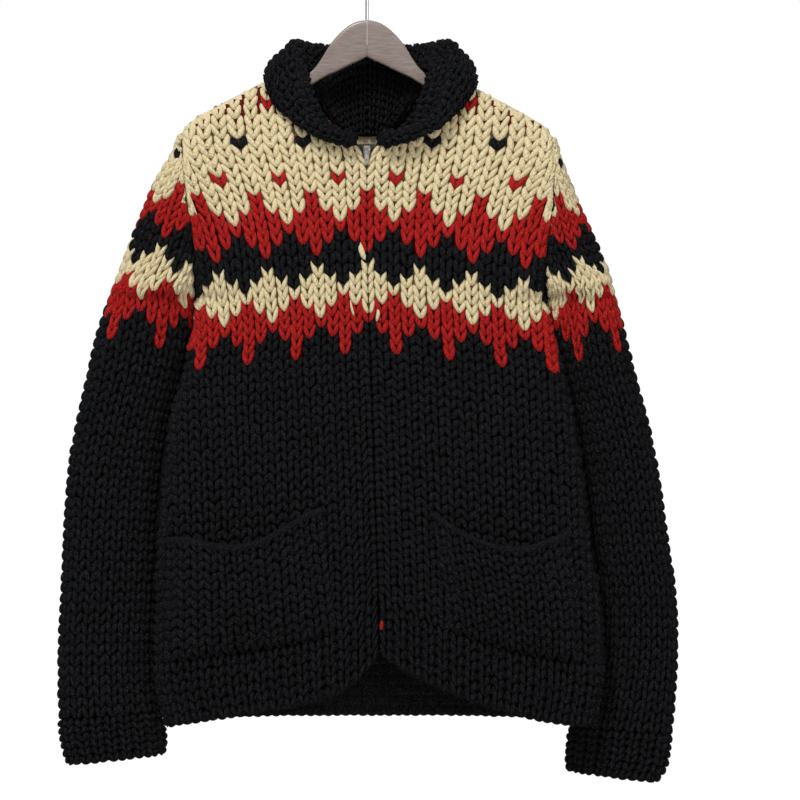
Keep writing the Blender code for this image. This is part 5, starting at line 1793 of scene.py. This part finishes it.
def hook():
    """Polished wire: a stem out of the wood, a bend, and most of a ring round the rail."""
    centre = HOOK_WIRE / 2 - HOOK_RADIUS
    stem = [(0.0, z) for z in np.linspace(SEAM_GAP - WOOD_YOKE[0, 1], -HOOK_STEM_TOP, 6)]

    def on_ring(degrees):
        turn = math.radians(degrees)
        return HOOK_RADIUS * math.cos(turn), centre + HOOK_RADIUS * math.sin(turn)

    join = math.radians(HOOK_JOIN_ANGLE)
    start = np.array([0.0, -HOOK_STEM_TOP])
    end = np.array(on_ring(HOOK_JOIN_ANGLE))
    start_pull = start + np.array([0.0, HOOK_BEND_REACH])
    end_pull = end - HOOK_BEND_REACH * np.array([-math.sin(join), math.cos(join)])
    bend = []
    for part in np.linspace(0, 1, 15)[1:]:
        weights = ((1 - part) ** 3, 3 * part * (1 - part) ** 2, 3 * part**2 * (1 - part), part**3)
        bend.append(tuple(sum(w * p for w, p in zip(weights, (start, start_pull, end_pull, end)))))
    ring = [on_ring(turn) for turn in np.linspace(HOOK_JOIN_ANGLE, HOOK_JOIN_ANGLE + HOOK_SWEEP, 60)[1:]]
    line = stem + bend + ring
    curve = bpy.data.curves.new("hook_wire", "CURVE")
    curve.dimensions = "3D"
    spline = curve.splines.new("POLY")
    spline.points.add(len(line) - 1)
    for point, (x, z) in zip(spline.points, line):
        point.co = (x * MM, 0.0, z * MM, 1.0)
    spline.use_smooth = True
    curve.bevel_depth = HOOK_WIRE / 2 * MM
    curve.bevel_resolution = 6
    curve.use_fill_caps = True
    curve.materials.append(metal_material("polished_wire", (0.55, 0.55, 0.56), (0.78, 0.78, 0.79), 0.16, 900))
    settle(add_object("hook_wire", curve), "hanger_hook", slot_name="hook_metal")


# ---------------------------------------------------------------------------------------------
# Stage
# ---------------------------------------------------------------------------------------------

PIXEL = 1.08
CAMERA_DISTANCE = 6000.0
FRAME_PIXELS = 800
# The photograph's pixel on the middle line, and how far it lies below the origin.
ORIGIN_PIXEL = (367.0, 20.0)
ORIGIN_DOWN = 80.0
SENSOR = 36.0


def camera():
    """Long lens straight in front, framed as the photograph is."""
    lens = bpy.data.cameras.new("camera")
    lens.sensor_width = SENSOR
    lens.lens = SENSOR * CAMERA_DISTANCE / (FRAME_PIXELS * PIXEL)
    lens.clip_end = 100.0
    obj = add_object("camera", lens)
    x = (FRAME_PIXELS / 2 - ORIGIN_PIXEL[0]) * PIXEL
    down = ORIGIN_DOWN + (FRAME_PIXELS / 2 - ORIGIN_PIXEL[1]) * PIXEL
    obj.location = (x * MM, -CAMERA_DISTANCE * MM, -down * MM)
    obj.rotation_euler = (math.radians(90), 0, 0)
    bpy.context.scene.camera = obj


def area_light(name, place, target, size, power):
    """Round soft light that faces its target."""
    light = bpy.data.lights.new(name, "AREA")
    light.shape = "DISK"
    light.size = size
    light.energy = power
    obj = add_object(name, light)
    obj.location = place
    x, y, z = np.array(target) - np.array(place)
    obj.rotation_euler = (math.atan2(math.hypot(x, y), -z), 0, math.atan2(-x, y))


def white_world():
    """White behind the part, and a softer light from all round on it."""
    world = bpy.data.worlds.new("soft_white")
    bpy.context.scene.world = world
    world.use_nodes = True
    tree = world.node_tree
    seen = tree.nodes["Background"]
    seen.inputs["Color"].default_value = (1.0, 1.0, 1.0, 1.0)
    seen.inputs["Strength"].default_value = 1.02
    soft = node(tree, "ShaderNodeBackground", Color=(0.97, 0.98, 1.0, 1.0), Strength=0.46)
    rays = tree.nodes.new("ShaderNodeLightPath")
    mix = tree.nodes.new("ShaderNodeMixShader")
    tree.links.new(rays.outputs["Is Camera Ray"], mix.inputs[0])
    tree.links.new(soft.outputs[0], mix.inputs[1])
    tree.links.new(seen.outputs[0], mix.inputs[2])
    tree.links.new(mix.outputs[0], tree.nodes["World Output"].inputs["Surface"])


def stage():
    """White world, pale floor and three soft lights."""
    bpy.context.scene.view_settings.view_transform = "Standard"
    white_world()
    bpy.ops.mesh.primitive_circle_add(vertices=96, radius=4.0, fill_type="NGON", location=(0, 0, -1.75))
    floor = bpy.context.active_object
    floor.name = "floor"
    floor.data.materials.append(plain_stage("pale_floor", (0.86, 0.86, 0.86), 0.8))
    middle = (0.0, 0.0, -0.45)
    area_light("key", (-0.7, -1.8, 1.75), middle, 0.8, 60)
    area_light("fill", (1.3, -2.5, 0.2), middle, 1.4, 15)
    area_light("back", (0.4, 2.2, 1.2), middle, 1.6, 30)


camera()
stage()
knit_back()
for each_side in (LEFT, RIGHT):
    knit_front(each_side)
    knit_sleeve(each_side)
knit_hems()
knit_cuffs()
knit_pockets()
knit_collar()
zip_pieces()
label()
stained_wood = wood_material()
hanger_arm(LEFT, stained_wood)
hanger_arm(RIGHT, stained_wood)
hook()
